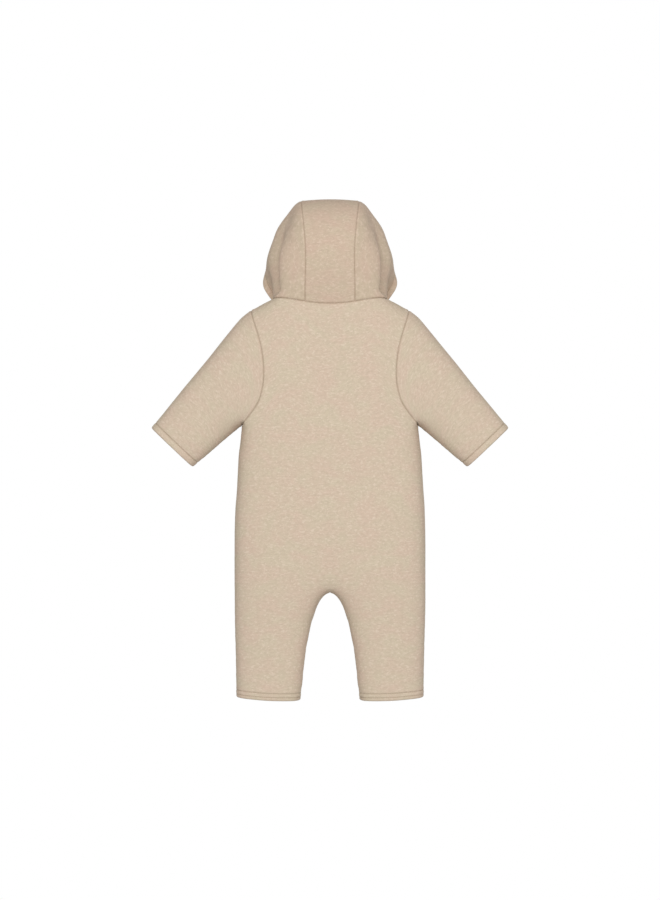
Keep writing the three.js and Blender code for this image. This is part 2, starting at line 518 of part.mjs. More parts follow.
// ---------- zip ----------
const PANEL_IN = -(FRONT_FLAT - CLOTH); // inner face of the front panels
const tapeY = [PANEL_IN + GAP, PANEL_IN + GAP + 0.8], coilY = [-34.4, -32.6];
for (const [who, sgn] of [["left", 1], ["right", -1]]) {
  const x = (a, b) => (sgn > 0 ? [a, b] : [-b, -a]);
  add(`zip_tape_${who}`, solidBox(...x(0.9, 17), ...tapeY, 206, 526.5), TAPE);
  add(`zip_coil_${who}`, solidBox(...x(0.6, 3.2), ...coilY, ZIP_LOW + 4.4, ZIP_TOP - 3.2), COIL, 0.5);
  add(`zip_top_stop_${who}`, solidBox(...x(0.7, 3.3), ...coilY, ZIP_TOP - 2.8, ZIP_TOP), METAL, 0.4, 0.8);
}
add("zip_bottom_stop", solidBox(-3.6, 3.6, ...coilY, ZIP_LOW, ZIP_LOW + 4), METAL, 0.4, 0.8);
add("zip_guard", solidBox(-15, 15, -29.2, -27.8, 206, 526.5), FLEECE);
{
  const z = SLIDER_Z, box = async (...a) => solid(solidBox(...a));
  // two plates joined by a post between the coils, with an arch for the pull
  const shape = new THREE.Shape([[-4.6, 6.5], [-5.2, 3.5], [-4.9, -3], [-4.2, -6.5], [4.2, -6.5], [4.9, -3], [5.2, 3.5], [4.6, 6.5], [2, 7.2], [-2, 7.2]].map(([a, b]) => new THREE.Vector2(a, b)));
  const plate = (y0, y1) => {
    const g = new THREE.ExtrudeGeometry(shape, { depth: y1 - y0, bevelEnabled: false, steps: 1 });
    g.rotateX(Math.PI / 2);
    g.translate(0, y1, z);
    return g;
  };
  let b = await solid(plate(-36.2, -35));
  b = b.add(await solid(plate(-31, -29.9)));
  b = b.add(await box(-0.3, 0.3, -35.6, -30.5, z - 1, z + 6));
  b = b.add(await box(-1.1, 1.1, -40, -35.6, z + 3.6, z + 5.2));
  b = b.add(await box(-1.1, 1.1, -40, -35.6, z - 4.6, z - 3));
  b = b.add(await box(-1.1, 1.1, -40.2, -39, z - 4.6, z + 5.2));
  add("zip_slider", geometryOf(b), METAL, 0.35, 0.9);
  // the pull hangs from a cross bar under the arch
  const pullY = -37.6;
  const tab = new THREE.Shape([[-3.4, 1], [-3.4, -8], [-4.4, -12], [-4.4, -27], [-3.2, -29], [3.2, -29], [4.4, -27], [4.4, -12], [3.4, -8], [3.4, 1]].map(([a, c]) => new THREE.Vector2(a, c)));
  const eye = new THREE.Path([[-1.9, -0.8], [1.9, -0.8], [1.9, -7.2], [-1.9, -7.2]].map(([a, c]) => new THREE.Vector2(a, c)));
  tab.holes.push(eye);
  const g = new THREE.ExtrudeGeometry(tab, { depth: 1.4, bevelEnabled: false, steps: 1 });
  g.rotateX(Math.PI / 2);
  g.translate(0, pullY + 0.7, z + 0.2);
  add("zip_pull", g, METAL, 0.35, 0.9);
}

export default group;
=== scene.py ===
# Hooded baby coverall: the looks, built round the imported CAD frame.
import bpy
import bmesh
import json
import math
import numpy as np
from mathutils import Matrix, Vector


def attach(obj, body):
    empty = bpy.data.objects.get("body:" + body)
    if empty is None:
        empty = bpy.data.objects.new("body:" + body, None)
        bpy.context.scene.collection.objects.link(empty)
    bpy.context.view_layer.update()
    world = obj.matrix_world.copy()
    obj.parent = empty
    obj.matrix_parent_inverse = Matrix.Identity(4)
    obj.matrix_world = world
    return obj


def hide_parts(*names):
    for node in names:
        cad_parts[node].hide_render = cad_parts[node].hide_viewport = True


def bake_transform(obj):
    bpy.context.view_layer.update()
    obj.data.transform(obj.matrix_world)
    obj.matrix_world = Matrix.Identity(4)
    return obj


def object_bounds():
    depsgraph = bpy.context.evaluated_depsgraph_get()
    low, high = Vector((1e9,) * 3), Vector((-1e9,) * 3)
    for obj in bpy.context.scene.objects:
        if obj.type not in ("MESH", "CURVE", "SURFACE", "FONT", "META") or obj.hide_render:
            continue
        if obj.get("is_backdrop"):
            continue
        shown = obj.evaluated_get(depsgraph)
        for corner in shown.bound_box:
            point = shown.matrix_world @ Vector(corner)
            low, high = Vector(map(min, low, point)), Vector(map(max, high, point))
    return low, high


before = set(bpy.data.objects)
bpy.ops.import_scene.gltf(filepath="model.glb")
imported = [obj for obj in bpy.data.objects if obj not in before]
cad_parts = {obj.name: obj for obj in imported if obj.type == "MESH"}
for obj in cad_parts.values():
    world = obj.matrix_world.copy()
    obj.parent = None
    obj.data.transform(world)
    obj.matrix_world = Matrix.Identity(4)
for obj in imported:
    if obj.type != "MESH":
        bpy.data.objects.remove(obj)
CAD_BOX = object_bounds()
scene = bpy.context.scene

# ------------------------------------------------------------------ sizes, as in the pattern (mm)
CLOTH, HEM, HOOD_HEM, LEG_TOP = 2.4, 12.0, 10.0, 152.0
PUFF_A, PUFF_B, FRONT_FLAT = 50.0, 58.0, 35.0
ZIP_LOW, ZIP_TOP, ZIP_EDGE, SLIDER_Z = 214.0, 523.0, 7.0, 512.0
LOOP_Y, LOOP_Z = 27.5, 549.0
SPLIT = 204.0  # level where the leg pieces begin, above the bend of the hips
SIDE = [[130.9, 4.5], [131.6, 40], [132.3, 73.5], [133.4, 115], [133.7, 152], [133.7, 225], [132.7, 267], [130.9, 292], [129.5, 317], [128.1, 342], [126, 359], [124.3, 374], [122.8, 385]]
INNER_LEG = [[42, 0], [40, 15], [38.5, 23.1], [37.1, 39.9], [35, 56.7], [32.9, 73.5], [29.4, 90.3], [25.9, 107.1], [23.1, 115.5], [20.3, 123.9], [17.2, 132.3], [12.2, 141.2], [5.6, 148.2], [0, 150.5]]
SLEEVE_LOW = [[122.8, 385], [133.7, 375.9], [153.3, 359.1], [172.9, 342.3], [192.5, 326.4]]
SLEEVE_TOP = [[110.6, 545.3], [117.5, 540.6], [124.2, 535], [131, 527.2], [160, 491.6], [200, 442.5], [249.9, 380.8]]
SHOULDER = [[80, 561.5], [92.4, 555.6], [102.6, 549.9], [110.6, 545.3]]
ARMHOLE = [[110.6, 545.3], [106.6, 530.2], [98.4, 504.4], [93, 477.1], [92, 449.8], [94.6, 432.2], [99.8, 416.1], [110, 400.6], [119, 389.6], [122.8, 385]]
NECK_BACK = [[0, 553.1], [18, 554], [33.6, 556], [52, 559.3], [68, 561.6], [80, 561.5]]
NECK_FRONT = [[ZIP_EDGE, 528], [20, 528.6], [35, 531], [58, 538.5], [73, 549], [80, 561.5]]
HEM_LINE = [[42, 0], [85, 1.2], [130.9, 4.5]]

# ------------------------------------------------------------------ curves
def smooth(pts, per=8):
    p = np.array(pts, float)
    n = len(p)
    out = []
    for i in range(n - 1):
        m1 = (p[i + 1] - p[i - 1]) / 2 if i > 0 else p[i + 1] - p[i]
        m2 = (p[i + 2] - p[i]) / 2 if i < n - 2 else p[i + 1] - p[i]
        for s in range(per):
            t = s / per
            out.append(p[i] * (2 * t**3 - 3 * t * t + 1) + m1 * (t**3 - 2 * t * t + t) + p[i + 1] * (-2 * t**3 + 3 * t * t) + m2 * (t**3 - t * t))
    out.append(p[-1])
    return np.array(out)


def lengths(line):
    d = np.linalg.norm(np.diff(line, axis=0), axis=1)
    return np.concatenate([[0], np.cumsum(d)])


def at(line, f):
    """Points at shares f of the line's length."""
    line = np.asarray(line, float)
    s = lengths(line)
    f = np.clip(np.asarray(f, float), 0, 1) * s[-1]
    return np.stack([np.interp(f, s, line[:, k]) for k in range(line.shape[1])], -1)


def share_at_z(line, z):
    s = lengths(line)
    zz = line[:, 1]
    if zz[0] > zz[-1]:
        return 1 - float(np.interp(z, zz[::-1], (1 - s / s[-1])[::-1]))
    return float(np.interp(z, zz, s / s[-1]))


def cut(line, a, b, n=60):
    return at(line, np.linspace(a, b, n))


def mirror(line):
    return np.asarray(line, float) * np.array([-1, 1])


def spread(n, edge=0.6):
    i = np.arange(n + 1) / n
    return edge * (0.5 - 0.5 * np.cos(np.pi * i)) + (1 - edge) * i


def gap_spread(n, fine, coarse_share=0.5):
    """0 to 1 with close spacing at both ends: n steps, the first one about fine of the whole."""
    x = np.linspace(-1, 1, n + 1)
    lo, hi = 0.0, 6.0
    for _ in range(50):
        m = (lo + hi) / 2
        y = np.tanh(m * x) / np.tanh(m) if m > 1e-6 else x
        if (y[1] - y[0]) / 2 > fine:
            lo = m
        else:
            hi = m
    y = np.tanh(lo * x) / np.tanh(lo) if lo > 1e-6 else x
    return (y + 1) / 2


def patch(low, high, left, right, us, vs):
    """Transfinite grid over four lines, each sampled by its own length; rows run along u."""
    us, vs = np.asarray(us), np.asarray(vs)
    a, b, l, r = at(low, us), at(high, us), at(left, vs), at(right, vs)
    S, V = us[None, :, None], vs[:, None, None]
    c00, c10, c01, c11 = a[0], a[-1], b[0], b[-1]
    return ((1 - V) * a[None] + V * b[None] + (1 - S) * l[:, None] + S * r[:, None]
            - ((1 - S) * (1 - V) * c00 + S * (1 - V) * c10 + (1 - S) * V * c01 + S * V * c11))


# ------------------------------------------------------------------ how far the cloth stands out
STEP, X_N, Z_0, Z_N = 4.0, 76, -60.0, 176
CUFF_DIR = np.array([0.703, -0.711])
cuffTop, cuffLow = np.array(SLEEVE_TOP[-1]), np.array(SLEEVE_LOW[-1])
SEAMS = [
    np.array([[80, 641], [80, 561.5]]), smooth(SHOULDER), smooth(SLEEVE_TOP), np.array([cuffTop, cuffTop + CUFF_DIR * 42]),
    np.array([cuffLow + CUFF_DIR * 42, cuffLow]), smooth(SLEEVE_LOW)[::-1], smooth(SIDE)[::-1],
    np.array([[130.9, 4.5], [130.4, -60]]), np.array([[42.6, -60], [42, 0]]), smooth(INNER_LEG),
]
OUTLINE = np.concatenate([[[-9, 641]], *SEAMS, [[-9, 150.5]]])
SEG_A = np.concatenate([s[:-1] for s in SEAMS])
SEG_B = np.concatenate([s[1:] for s in SEAMS])


def inside(x, z):
    c = np.zeros(x.shape, bool)
    a, b = OUTLINE, np.roll(OUTLINE, 1, axis=0)
    for (xi, zi), (xj, zj) in zip(a, b):
        if zi == zj:
            continue
        hit = ((zi > z) != (zj > z)) & (x < (xj - xi) * (z - zi) / (zj - zi) + xi)
        c ^= hit
    return c


def seam_distance(x, z):
    x = np.abs(x)
    shape = x.shape
    x, z = x.ravel(), z.ravel()
    out = np.empty(x.shape)
    d = SEG_B - SEG_A
    dd = np.maximum((d**2).sum(1), 1e-9)
    for k in range(0, len(x), 6000):
        px, pz = x[k:k + 6000, None], z[k:k + 6000, None]
        t = np.clip(((px - SEG_A[:, 0]) * d[:, 0] + (pz - SEG_A[:, 1]) * d[:, 1]) / dd, 0, 1)
        q = (px - SEG_A[:, 0] - t * d[:, 0]) ** 2 + (pz - SEG_A[:, 1] - t * d[:, 1]) ** 2
        out[k:k + 6000] = np.sqrt(q.min(1))
    out *= np.where(inside(x, z), 1, -1)
    return out.reshape(shape)


def solve():
    gx, gz = np.meshgrid(np.arange(X_N) * STEP, Z_0 + np.arange(Z_N) * STEP)
    D = seam_distance(gx, gz)
    U = np.zeros_like(D)
    ins = D > 0
    ins[:, X_N - 1] = False
    kk, ii = np.nonzero(ins)
    W = np.full(len(kk), 4.0)
    nb = []
    for di, dk in ((-1, 0), (1, 0), (0, -1), (0, 1)):
        qi, qk = np.abs(ii + di), np.clip(kk + dk, 0, Z_N - 1)
        ok = D[qk, qi] > 0
        W += np.where(ok, 0, np.minimum(4, -D[qk, qi] / np.maximum(D[kk, ii], 0.2 * STEP)))
        nb.append((qk, qi, ok))
    colour = (kk + ii) % 2
    sets = [np.nonzero(colour == c)[0] for c in (0, 1)]
    for _ in range(900):
        for s in sets:
            total = np.full(len(s), STEP * STEP)
            for qk, qi, ok in nb:
                total += np.where(ok[s], U[qk[s], qi[s]], 0)
            U[kk[s], ii[s]] += 1.9 * (total / W[s] - U[kk[s], ii[s]])
    A = np.where(D > 0.9 * STEP, U / np.where(D > 0.9 * STEP, D, 1), 0.0)
    known = D > 0.9 * STEP
    for _ in range(6):
        had = known.copy()
        total, n = np.zeros_like(A), np.zeros_like(A)
        for a in (-1, 0, 1):
            for b in (-1, 0, 1):
                qi, qk = np.abs(np.arange(X_N) + a), np.arange(Z_N) + b
                okc, okr = qi < X_N, (qk >= 0) & (qk < Z_N)
                sub = np.zeros_like(A)
                m = np.zeros_like(known)
                r, c = np.nonzero(okr)[0], np.nonzero(okc)[0]
                sub[np.ix_(r, c)] = A[np.ix_(qk[r], qi[c])]
                m[np.ix_(r, c)] = had[np.ix_(qk[r], qi[c])]
                total += np.where(m, sub, 0)
                n += m
        new = ~had & (n > 0)
        A[new] = total[new] / n[new]
        known |= new
    return U, A


GRID_U, GRID_A = solve()


def cubic(F, x, z):
    fx, fz = np.abs(x) / STEP, (z - Z_0) / STEP
    i, k = np.floor(fx).astype(int), np.floor(fz).astype(int)
    tx, tz = fx - i, fz - k

    def w(t):
        return [(-t + 2 * t * t - t**3) / 2, (2 - 5 * t * t + 3 * t**3) / 2, (t + 4 * t * t - 3 * t**3) / 2, (-t * t + t**3) / 2]
    wx, wz = w(tx), w(tz)
    out = np.zeros_like(fx)
    for b in range(4):
        for a in range(4):
            ii = np.minimum(X_N - 1, np.abs(i + a - 1))
            kk = np.clip(k + b - 1, 0, Z_N - 1)
            out += F[kk, ii] * wx[a] * wz[b]
    return out


def field(x, z):
    d = seam_distance(x, z)
    near = d * cubic(GRID_A, x, z)
    t = np.clip((d - 5) / 8, 0, 1)
    w = t * t * (3 - 2 * t)
    return near * (1 - w) + cubic(GRID_U, x, z) * w


def flat(t):
    q = np.clip((t - 26) / 12, 0, 1)
    a, b, m = 26.0, FRONT_FLAT, 12.0
    h = a * (2 * q**3 - 3 * q * q + 1) + m * (q**3 - 2 * q * q + q) + b * (-2 * q**3 + 3 * q * q)
    k = (a * (6 * q * q - 6 * q) + m * (3 * q * q - 4 * q + 1) + b * (-6 * q * q + 6 * q)) / 12
    return np.where(t < 26, t, h), np.where(t < 26, 1.0, np.where(t >= 38, 0.0, k))


def cloth(xz, side, on_seam=None):
    """Outer face of the cloth at pattern points xz (..., 2): positions and outward normals, in pattern mm."""
    x, z = xz[..., 0], xz[..., 1]
    e = 0.5
    here = np.maximum(0, field(x, z))
    if on_seam is not None:
        here = np.where(on_seam, 0, here)
    ux = (field(x + e, z) - field(x - e, z)) / (2 * e)
    uz = (field(x, z + e) - field(x, z - e)) / (2 * e)
    s = np.sqrt(2 * here)
    h, k = PUFF_A * (1 - np.exp(-s / PUFF_B)), (PUFF_A / PUFF_B) * np.exp(-s / PUFF_B)
    if side < 0:
        h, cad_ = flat(h)
        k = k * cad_
    n = np.stack([-ux * k, s, -uz * k], -1)
    n = np.where((k < 1e-9)[..., None], np.array([0.0, 1.0, 0.0]), n)
    n /= np.maximum(np.linalg.norm(n, axis=-1, keepdims=True), 1e-12)
    p = np.stack([x, h, z], -1)
    p[..., 1] *= side
    n[..., 1] *= side
    return p, n


# ------------------------------------------------------------------ meshes
def to_row(p):
    return (np.asarray(p, float) - np.array([0, LOOP_Y, LOOP_Z])) / 1000.0


def grid_normals(P, wrap=False):
    du = np.gradient(P, axis=1)
    if wrap:
        du = (np.roll(P, -1, axis=1) - np.roll(P, 1, axis=1)) / 2
    dv = np.gradient(P, axis=0)
    n = np.cross(du, dv)
    return n / np.maximum(np.linalg.norm(n, axis=-1, keepdims=True), 1e-12)


def new_object(name, verts, faces, uvs=None, mats=(), face_mat=None, smooth_it=True, crease=40, painted_shade=None, collection=None):
    me = bpy.data.meshes.new(name)
    me.from_pydata([tuple(v) for v in verts], [], [tuple(int(i) for i in f) for f in faces])
    me.validate(clean_customdata=False)
    if uvs is not None:
        layer = me.uv_layers.new(name="UVMap")
        loops = np.empty(len(me.loops), int)
        me.loops.foreach_get("vertex_index", loops)
        layer.data.foreach_set("uv", np.asarray(uvs, np.float32)[loops].ravel())
    for m in mats:
        me.materials.append(m)
    if face_mat is not None:
        me.polygons.foreach_set("material_index", np.asarray(face_mat, np.int32))
    me.polygons.foreach_set("use_smooth", np.full(len(me.polygons), smooth_it))
    # painted shade from seams and stitch rows, kept per point; the fleece material darkens its colour by it
    if painted_shade is not None:
        a = me.attributes.new("painted_seam_shade", "FLOAT", "POINT")
        a.data.foreach_set("value", np.asarray(painted_shade, np.float32))
    if smooth_it and crease:
        me.set_sharp_from_angle(angle=math.radians(crease))
    me.update()
    ob = bpy.data.objects.new(name, me)
    scene.collection.objects.link(ob)
    return ob


def orient(verts, faces):
    v = np.asarray(verts)
    f = np.asarray(faces)
    a, b, c, d = v[f[:, 0]], v[f[:, 1]], v[f[:, 2]], v[f[:, 3]]
    vol = (a * np.cross(b, c)).sum() + (a * np.cross(c, d)).sum()
    return f[:, ::-1] if vol < 0 else f


GRIDS = {}


def shell(name, O, I, uv, mats, wrap=False, painted_shade=None, outer_mat=0, inner_mat=1):
    """A closed shell from an outer and an inner grid (m, n, 3), in pattern mm. wrap joins the rows' ends."""
    m, n = O.shape[:2]
    GRIDS[name] = np.asarray(O, float)
    V = np.concatenate([O.reshape(-1, 3), I.reshape(-1, 3)])
    V = to_row(V)
    idx = np.arange(m * n).reshape(m, n)
    if wrap:
        idx = np.concatenate([idx, idx[:, :1]], axis=1)
    a, b, c, d = idx[:-1, :-1].ravel(), idx[:-1, 1:].ravel(), idx[1:, 1:].ravel(), idx[1:, :-1].ravel()
    K = m * n
    outer = np.stack([a, b, c, d], 1)
    inner = np.stack([a, d, c, b], 1) + K
    rims = []
    e = idx[0]
    rims.append(np.stack([e[:-1], e[:-1] + K, e[1:] + K, e[1:]], 1))
    e = idx[-1]
    rims.append(np.stack([e[:-1], e[1:], e[1:] + K, e[:-1] + K], 1))
    if not wrap:
        e = idx[:, 0]
        rims.append(np.stack([e[:-1], e[1:], e[1:] + K, e[:-1] + K], 1))
        e = idx[:, -1]
        rims.append(np.stack([e[:-1], e[:-1] + K, e[1:] + K, e[1:]], 1))
    rim = np.concatenate(rims)
    F = np.concatenate([outer, inner, rim])
    F2 = orient(V, F)
    fm = np.concatenate([np.full(len(outer), outer_mat), np.full(len(inner), inner_mat), np.full(len(rim), outer_mat)])
    uvs = np.concatenate([uv.reshape(-1, 2), uv.reshape(-1, 2)])
    dk = None
    # painted seam shade on both faces, half as strong on the inner one
    if painted_shade is not None:
        dk = np.concatenate([painted_shade.ravel(), painted_shade.ravel() * 0.5])
    return new_object(name, V, F2, uvs, mats, fm, painted_shade=dk)


def arc_uv(P, v_line=None, centre=None):
    """UV in metres: u is the arc length along each row, counted from column centre; v from the middle column."""
    d = np.linalg.norm(np.diff(P, axis=1), axis=-1)
    u = np.concatenate([np.zeros((P.shape[0], 1)), np.cumsum(d, 1)], 1)
    c = P.shape[1] // 2 if centre is None else centre
    u = u - u[:, c:c + 1]
    dv = np.linalg.norm(np.diff(P[:, c], axis=0), axis=-1)
    v = np.concatenate([[0], np.cumsum(dv)])[:, None] + np.zeros_like(u)
    return np.stack([u, v], -1) / 1000.0


from mathutils.kdtree import KDTree


def near(P, lines, step=1.0):
    """Distance from each point of P to the nearest of the 3-D lines, and the position along it."""
    pts, pos = [], []
    for l in lines:
        s = lengths(l)
        n = max(2, int(s[-1] / step))
        q = at(l, np.linspace(0, 1, n))
        pts.append(q)
        pos.append(np.linspace(0, s[-1], n))
    pts, pos = np.concatenate(pts), np.concatenate(pos)
    kd = KDTree(len(pts))
    for i, p in enumerate(pts):
        kd.insert(p, i)
    kd.balance()
    flat_p = P.reshape(-1, 3)
    out, where = np.empty(len(flat_p)), np.empty(len(flat_p))
    for i, p in enumerate(flat_p):
        co, k, dist = kd.find(p)
        out[i], where[i] = dist, pos[k]
    return out.reshape(P.shape[:-1]), where.reshape(P.shape[:-1])


def ripple(P):
    """Very soft unevenness of hung cloth, in mm, from the point's place (pattern mm)."""
    x, y, z = P[..., 0], P[..., 1], P[..., 2]
    a = np.sin(x / 31 + 0.7 * np.sin(z / 57) + 1.3) * np.sin(z / 43 + 0.4 + 0.5 * np.sin(x / 39))
    b = np.sin(x / 17 + z / 29 + 2.1) * np.sin(z / 21 - x / 47 + 0.8)
    c = np.sin(x / 9.3 - z / 13.7 + y / 20) * np.sin(z / 10.1 + x / 23)
    return 0.45 * a + 0.22 * b + 0.06 * c


def seam_form(P, N, lines, deep=0.9, wide=1.1, pucker=0.22, roll=0.3):
    """Pulls the cloth in at its seams, with a soft roll beside them and small puckers. Returns points and a 0-1 amount
    of painted shade for each seam's groove.
    """
    d, s = near(P, lines)
    groove = deep * np.exp(-((d / wide) ** 2)) - roll * np.exp(-(((d - 2.6 * wide) / (1.7 * wide)) ** 2))
    wave = np.sin(s / 1.25 + 1.7 * np.sin(s / 7.0)) * 0.5 + np.sin(s / 2.9 + 0.8) * 0.5
    pk = pucker * wave * np.exp(-((d - 3.0) / 4.0) ** 2) * np.clip(d / 1.2, 0, 1)
    Q = P - N * (groove + pk)[..., None]
    # painted shade: the second value darkens the colour along the seam line, standing in for the shadow in its groove
    return Q, np.exp(-((d / (0.8 * wide)) ** 2))


# ------------------------------------------------------------------ materials
def tree(name):
    m = bpy.data.materials.new(name)
    m.use_nodes = True
    nt = m.node_tree
    nt.nodes.clear()
    out = nt.nodes.new("ShaderNodeOutputMaterial")
    b = nt.nodes.new("ShaderNodeBsdfPrincipled")
    nt.links.new(b.outputs["BSDF"], out.inputs["Surface"])
    return m, nt, b


def node(nt, kind, inputs=None, **props):
    n = nt.nodes.new(kind)
    for k, v in props.items():
        setattr(n, k, v)
    for k, v in (inputs or {}).items():
        if hasattr(v, "is_output"):
            nt.links.new(v, n.inputs[k])
        else:
            n.inputs[k].default_value = v
    return n


def noise(nt, vec, sx, sy, detail=3.0, rough=0.55, dist=0.0, w=0.0):
    """Noise over UV in mm: sx and sy are the sizes of its features in mm."""
    mp = node(nt, "ShaderNodeMapping", {"Vector": vec, "Location": (w, w * 1.7, 0), "Scale": (1000 / sx, 1000 / sy, 1)})
    return node(nt, "ShaderNodeTexNoise", {"Vector": mp.outputs[0], "Scale": 1.0, "Detail": detail, "Roughness": rough, "Distortion": dist}).outputs["Fac"]


def band(nt, fac, lo, hi, a=0.0, b=1.0):
    return node(nt, "ShaderNodeMapRange", {"Value": fac, "From Min": lo, "From Max": hi, "To Min": a, "To Max": b}, clamp=True).outputs[0]


def math_node(nt, op, a, b=None, c=None):
    ins = {0: a}
    if b is not None:
        ins[1] = b
    if c is not None:
        ins[2] = c
    return node(nt, "ShaderNodeMath", ins, operation=op).outputs[0]


def mix(nt, fac, a, b, mode="MIX"):
    n = nt.nodes.new("ShaderNodeMix")
    n.data_type, n.blend_type = "RGBA", mode
    for sock, v in ((n.inputs[0], fac), (n.inputs[6], a), (n.inputs[7], b)):
        if hasattr(v, "is_output"):
            nt.links.new(v, sock)
        else:
            sock.default_value = v
    return n.outputs[2]


def lin(r, g, b, k=1.0):
    f = lambda c: ((c / 255 + 0.055) / 1.055) ** 2.4 if c > 10 else c / 255 / 12.92
    return (f(r) * k, f(g) * k, f(b) * k, 1.0)


def fleece(name, rgb, k=1.0, loops=False):
    """Heather sweatshirt fleece: felted fibres over a fine knit. loops makes the unbrushed inside."""
    m, nt, b = tree(name)
    uv = node(nt, "ShaderNodeUVMap", uv_map="UVMap").outputs[0]
    base = lin(*rgb, k)
    pale = tuple(min(1, c * f) for c, f in zip(base[:3], (1.17, 1.18, 1.21))) + (1,)
    deep = tuple(c * f for c, f in zip(base[:3], (0.74, 0.72, 0.685))) + (1,)
    pink = tuple(c * f for c, f in zip(base[:3], (1.03, 0.965, 0.965))) + (1,)
    gold = tuple(c * f for c, f in zip(base[:3], (0.985, 1.015, 0.965))) + (1,)
    # slow drift of hue and value through the dye
    drift = noise(nt, uv, 34, 26, 2.0, 0.5, 0.4, 3.1)
    col = mix(nt, band(nt, drift, 0.36, 0.64), pink, gold)
    cloud = noise(nt, uv, 5.5, 3.4, 3.0, 0.6, 0.6, 11.0)
    col = mix(nt, band(nt, cloud, 0.38, 0.64, 0.0, 0.36), col, deep)
    fleck = noise(nt, uv, 4.2, 2.2, 2.0, 0.55, 0.8, 31.0)
    col = mix(nt, band(nt, fleck, 0.52, 0.66, 0.0, 0.72), col, pale)
    # heather: drawn-out pale and dark fibres, lying along the courses
    f1 = noise(nt, uv, 2.6, 0.62, 4.0, 0.62, 0.9, 5.0)
    col = mix(nt, band(nt, f1, 0.55, 0.74, 0.0, 0.62), col, pale)
    f2 = noise(nt, uv, 3.2, 0.55, 4.0, 0.66, 1.1, 23.0)
    col = mix(nt, band(nt, f2, 0.57, 0.78, 0.0, 0.62), col, deep)
    f3 = noise(nt, uv, 0.55, 0.35, 3.0, 0.6, 0.3, 41.0)
    col = mix(nt, band(nt, f3, 0.3, 0.7, 0.0, 0.22), col, deep)
    # painted shade: the colour is darkened along seams and stitch rows by this attribute, for the shadow in their
    # grooves
    shade = node(nt, "ShaderNodeAttribute", attribute_name="painted_seam_shade").outputs["Fac"]
    painted_shade = tuple(c * f for c, f in zip(base[:3], (0.52, 0.47, 0.42))) + (1,)
    col = mix(nt, math_node(nt, "MULTIPLY", shade, 0.62), col, painted_shade)
    nt.links.new(col, b.inputs["Base Color"])
    # surface: knit courses and wales under a felted nap
    mm = node(nt, "ShaderNodeMapping", {"Vector": uv, "Scale": (1000, 1000, 1)}).outputs[0]
    sep = node(nt, "ShaderNodeSeparateXYZ", {"Vector": mm})
    wob = math_node(nt, "MULTIPLY", noise(nt, uv, 3.5, 3.5, 2.0, 0.5, 0.0, 7.0), 2.4)
    wale = math_node(nt, "SINE", math_node(nt, "ADD", math_node(nt, "MULTIPLY", sep.outputs[0], 2 * math.pi / (1.25 if not loops else 1.8)), wob))
    course = math_node(nt, "SINE", math_node(nt, "ADD", math_node(nt, "MULTIPLY", sep.outputs[1], 2 * math.pi / (0.95 if not loops else 1.5)), wob))
    knit = math_node(nt, "MULTIPLY", math_node(nt, "ADD", wale, course), 0.10 if not loops else 0.24)
    nap = noise(nt, uv, 0.9, 0.5, 5.0, 0.68, 0.8, 2.0)
    fuzz = noise(nt, uv, 0.28, 0.22, 2.0, 0.6, 0.0, 9.0)
    slub = noise(nt, uv, 6, 2.4, 2.0, 0.5, 0.5, 15.0)
    h = math_node(nt, "ADD", knit, math_node(nt, "MULTIPLY", nap, 0.95))
    h = math_node(nt, "ADD", h, math_node(nt, "MULTIPLY", fuzz, 0.35))
    h = math_node(nt, "ADD", h, math_node(nt, "MULTIPLY", slub, 0.7))
    bp = node(nt, "ShaderNodeBump", {"Height": h, "Strength": 0.55, "Distance": 0.00042})
    nt.links.new(bp.outputs[0], b.inputs["Normal"])
    nt.links.new(band(nt, nap, 0.3, 0.75, 0.86, 0.99), b.inputs["Roughness"])
    b.inputs["Specular IOR Level"].default_value = 0.16
    b.inputs["Sheen Weight"].default_value = 0.05
    b.inputs["Sheen Roughness"].default_value = 0.55
    b.inputs["Sheen Tint"].default_value = (0.95, 0.86, 0.76, 1)
    return m


def woven(name, rgb, k=1.0, pitch=0.55, bump=0.6):
    """Narrow twill tape."""
    m, nt, b = tree(name)
    uv = node(nt, "ShaderNodeUVMap", uv_map="UVMap").outputs[0]
    base = lin(*rgb, k)
    mm = node(nt, "ShaderNodeMapping", {"Vector": uv, "Scale": (1000, 1000, 1)}).outputs[0]
    sep = node(nt, "ShaderNodeSeparateXYZ", {"Vector": mm})
    tri = math_node(nt, "PINGPONG", sep.outputs[1], 2.6)
    diag = math_node(nt, "SINE", math_node(nt, "MULTIPLY", math_node(nt, "ADD", sep.outputs[0], tri), 2 * math.pi / (2 * pitch)))
    yarn = math_node(nt, "SINE", math_node(nt, "MULTIPLY", sep.outputs[0], 2 * math.pi / pitch))
    h = math_node(nt, "ADD", math_node(nt, "MULTIPLY", diag, 0.5), math_node(nt, "MULTIPLY", yarn, 0.2))
    n1 = noise(nt, uv, 1.6, 0.5, 3.0, 0.6, 0.3, 4.0)
    col = mix(nt, band(nt, h, -0.6, 0.7), tuple(c * 0.82 for c in base[:3]) + (1,), tuple(min(1, c * 1.06) for c in base[:3]) + (1,))
    col = mix(nt, band(nt, n1, 0.4, 0.7, 0.0, 0.3), col, tuple(c * 0.8 for c in base[:3]) + (1,))
    nt.links.new(col, b.inputs["Base Color"])
    bp = node(nt, "ShaderNodeBump", {"Height": math_node(nt, "ADD", h, n1), "Strength": bump, "Distance": 0.00018})
    nt.links.new(bp.outputs[0], b.inputs["Normal"])
    nt.links.new(band(nt, n1, 0.3, 0.7, 0.72, 0.9), b.inputs["Roughness"])
    b.inputs["Specular IOR Level"].default_value = 0.22
    b.inputs["Sheen Weight"].default_value = 0.1
    return m


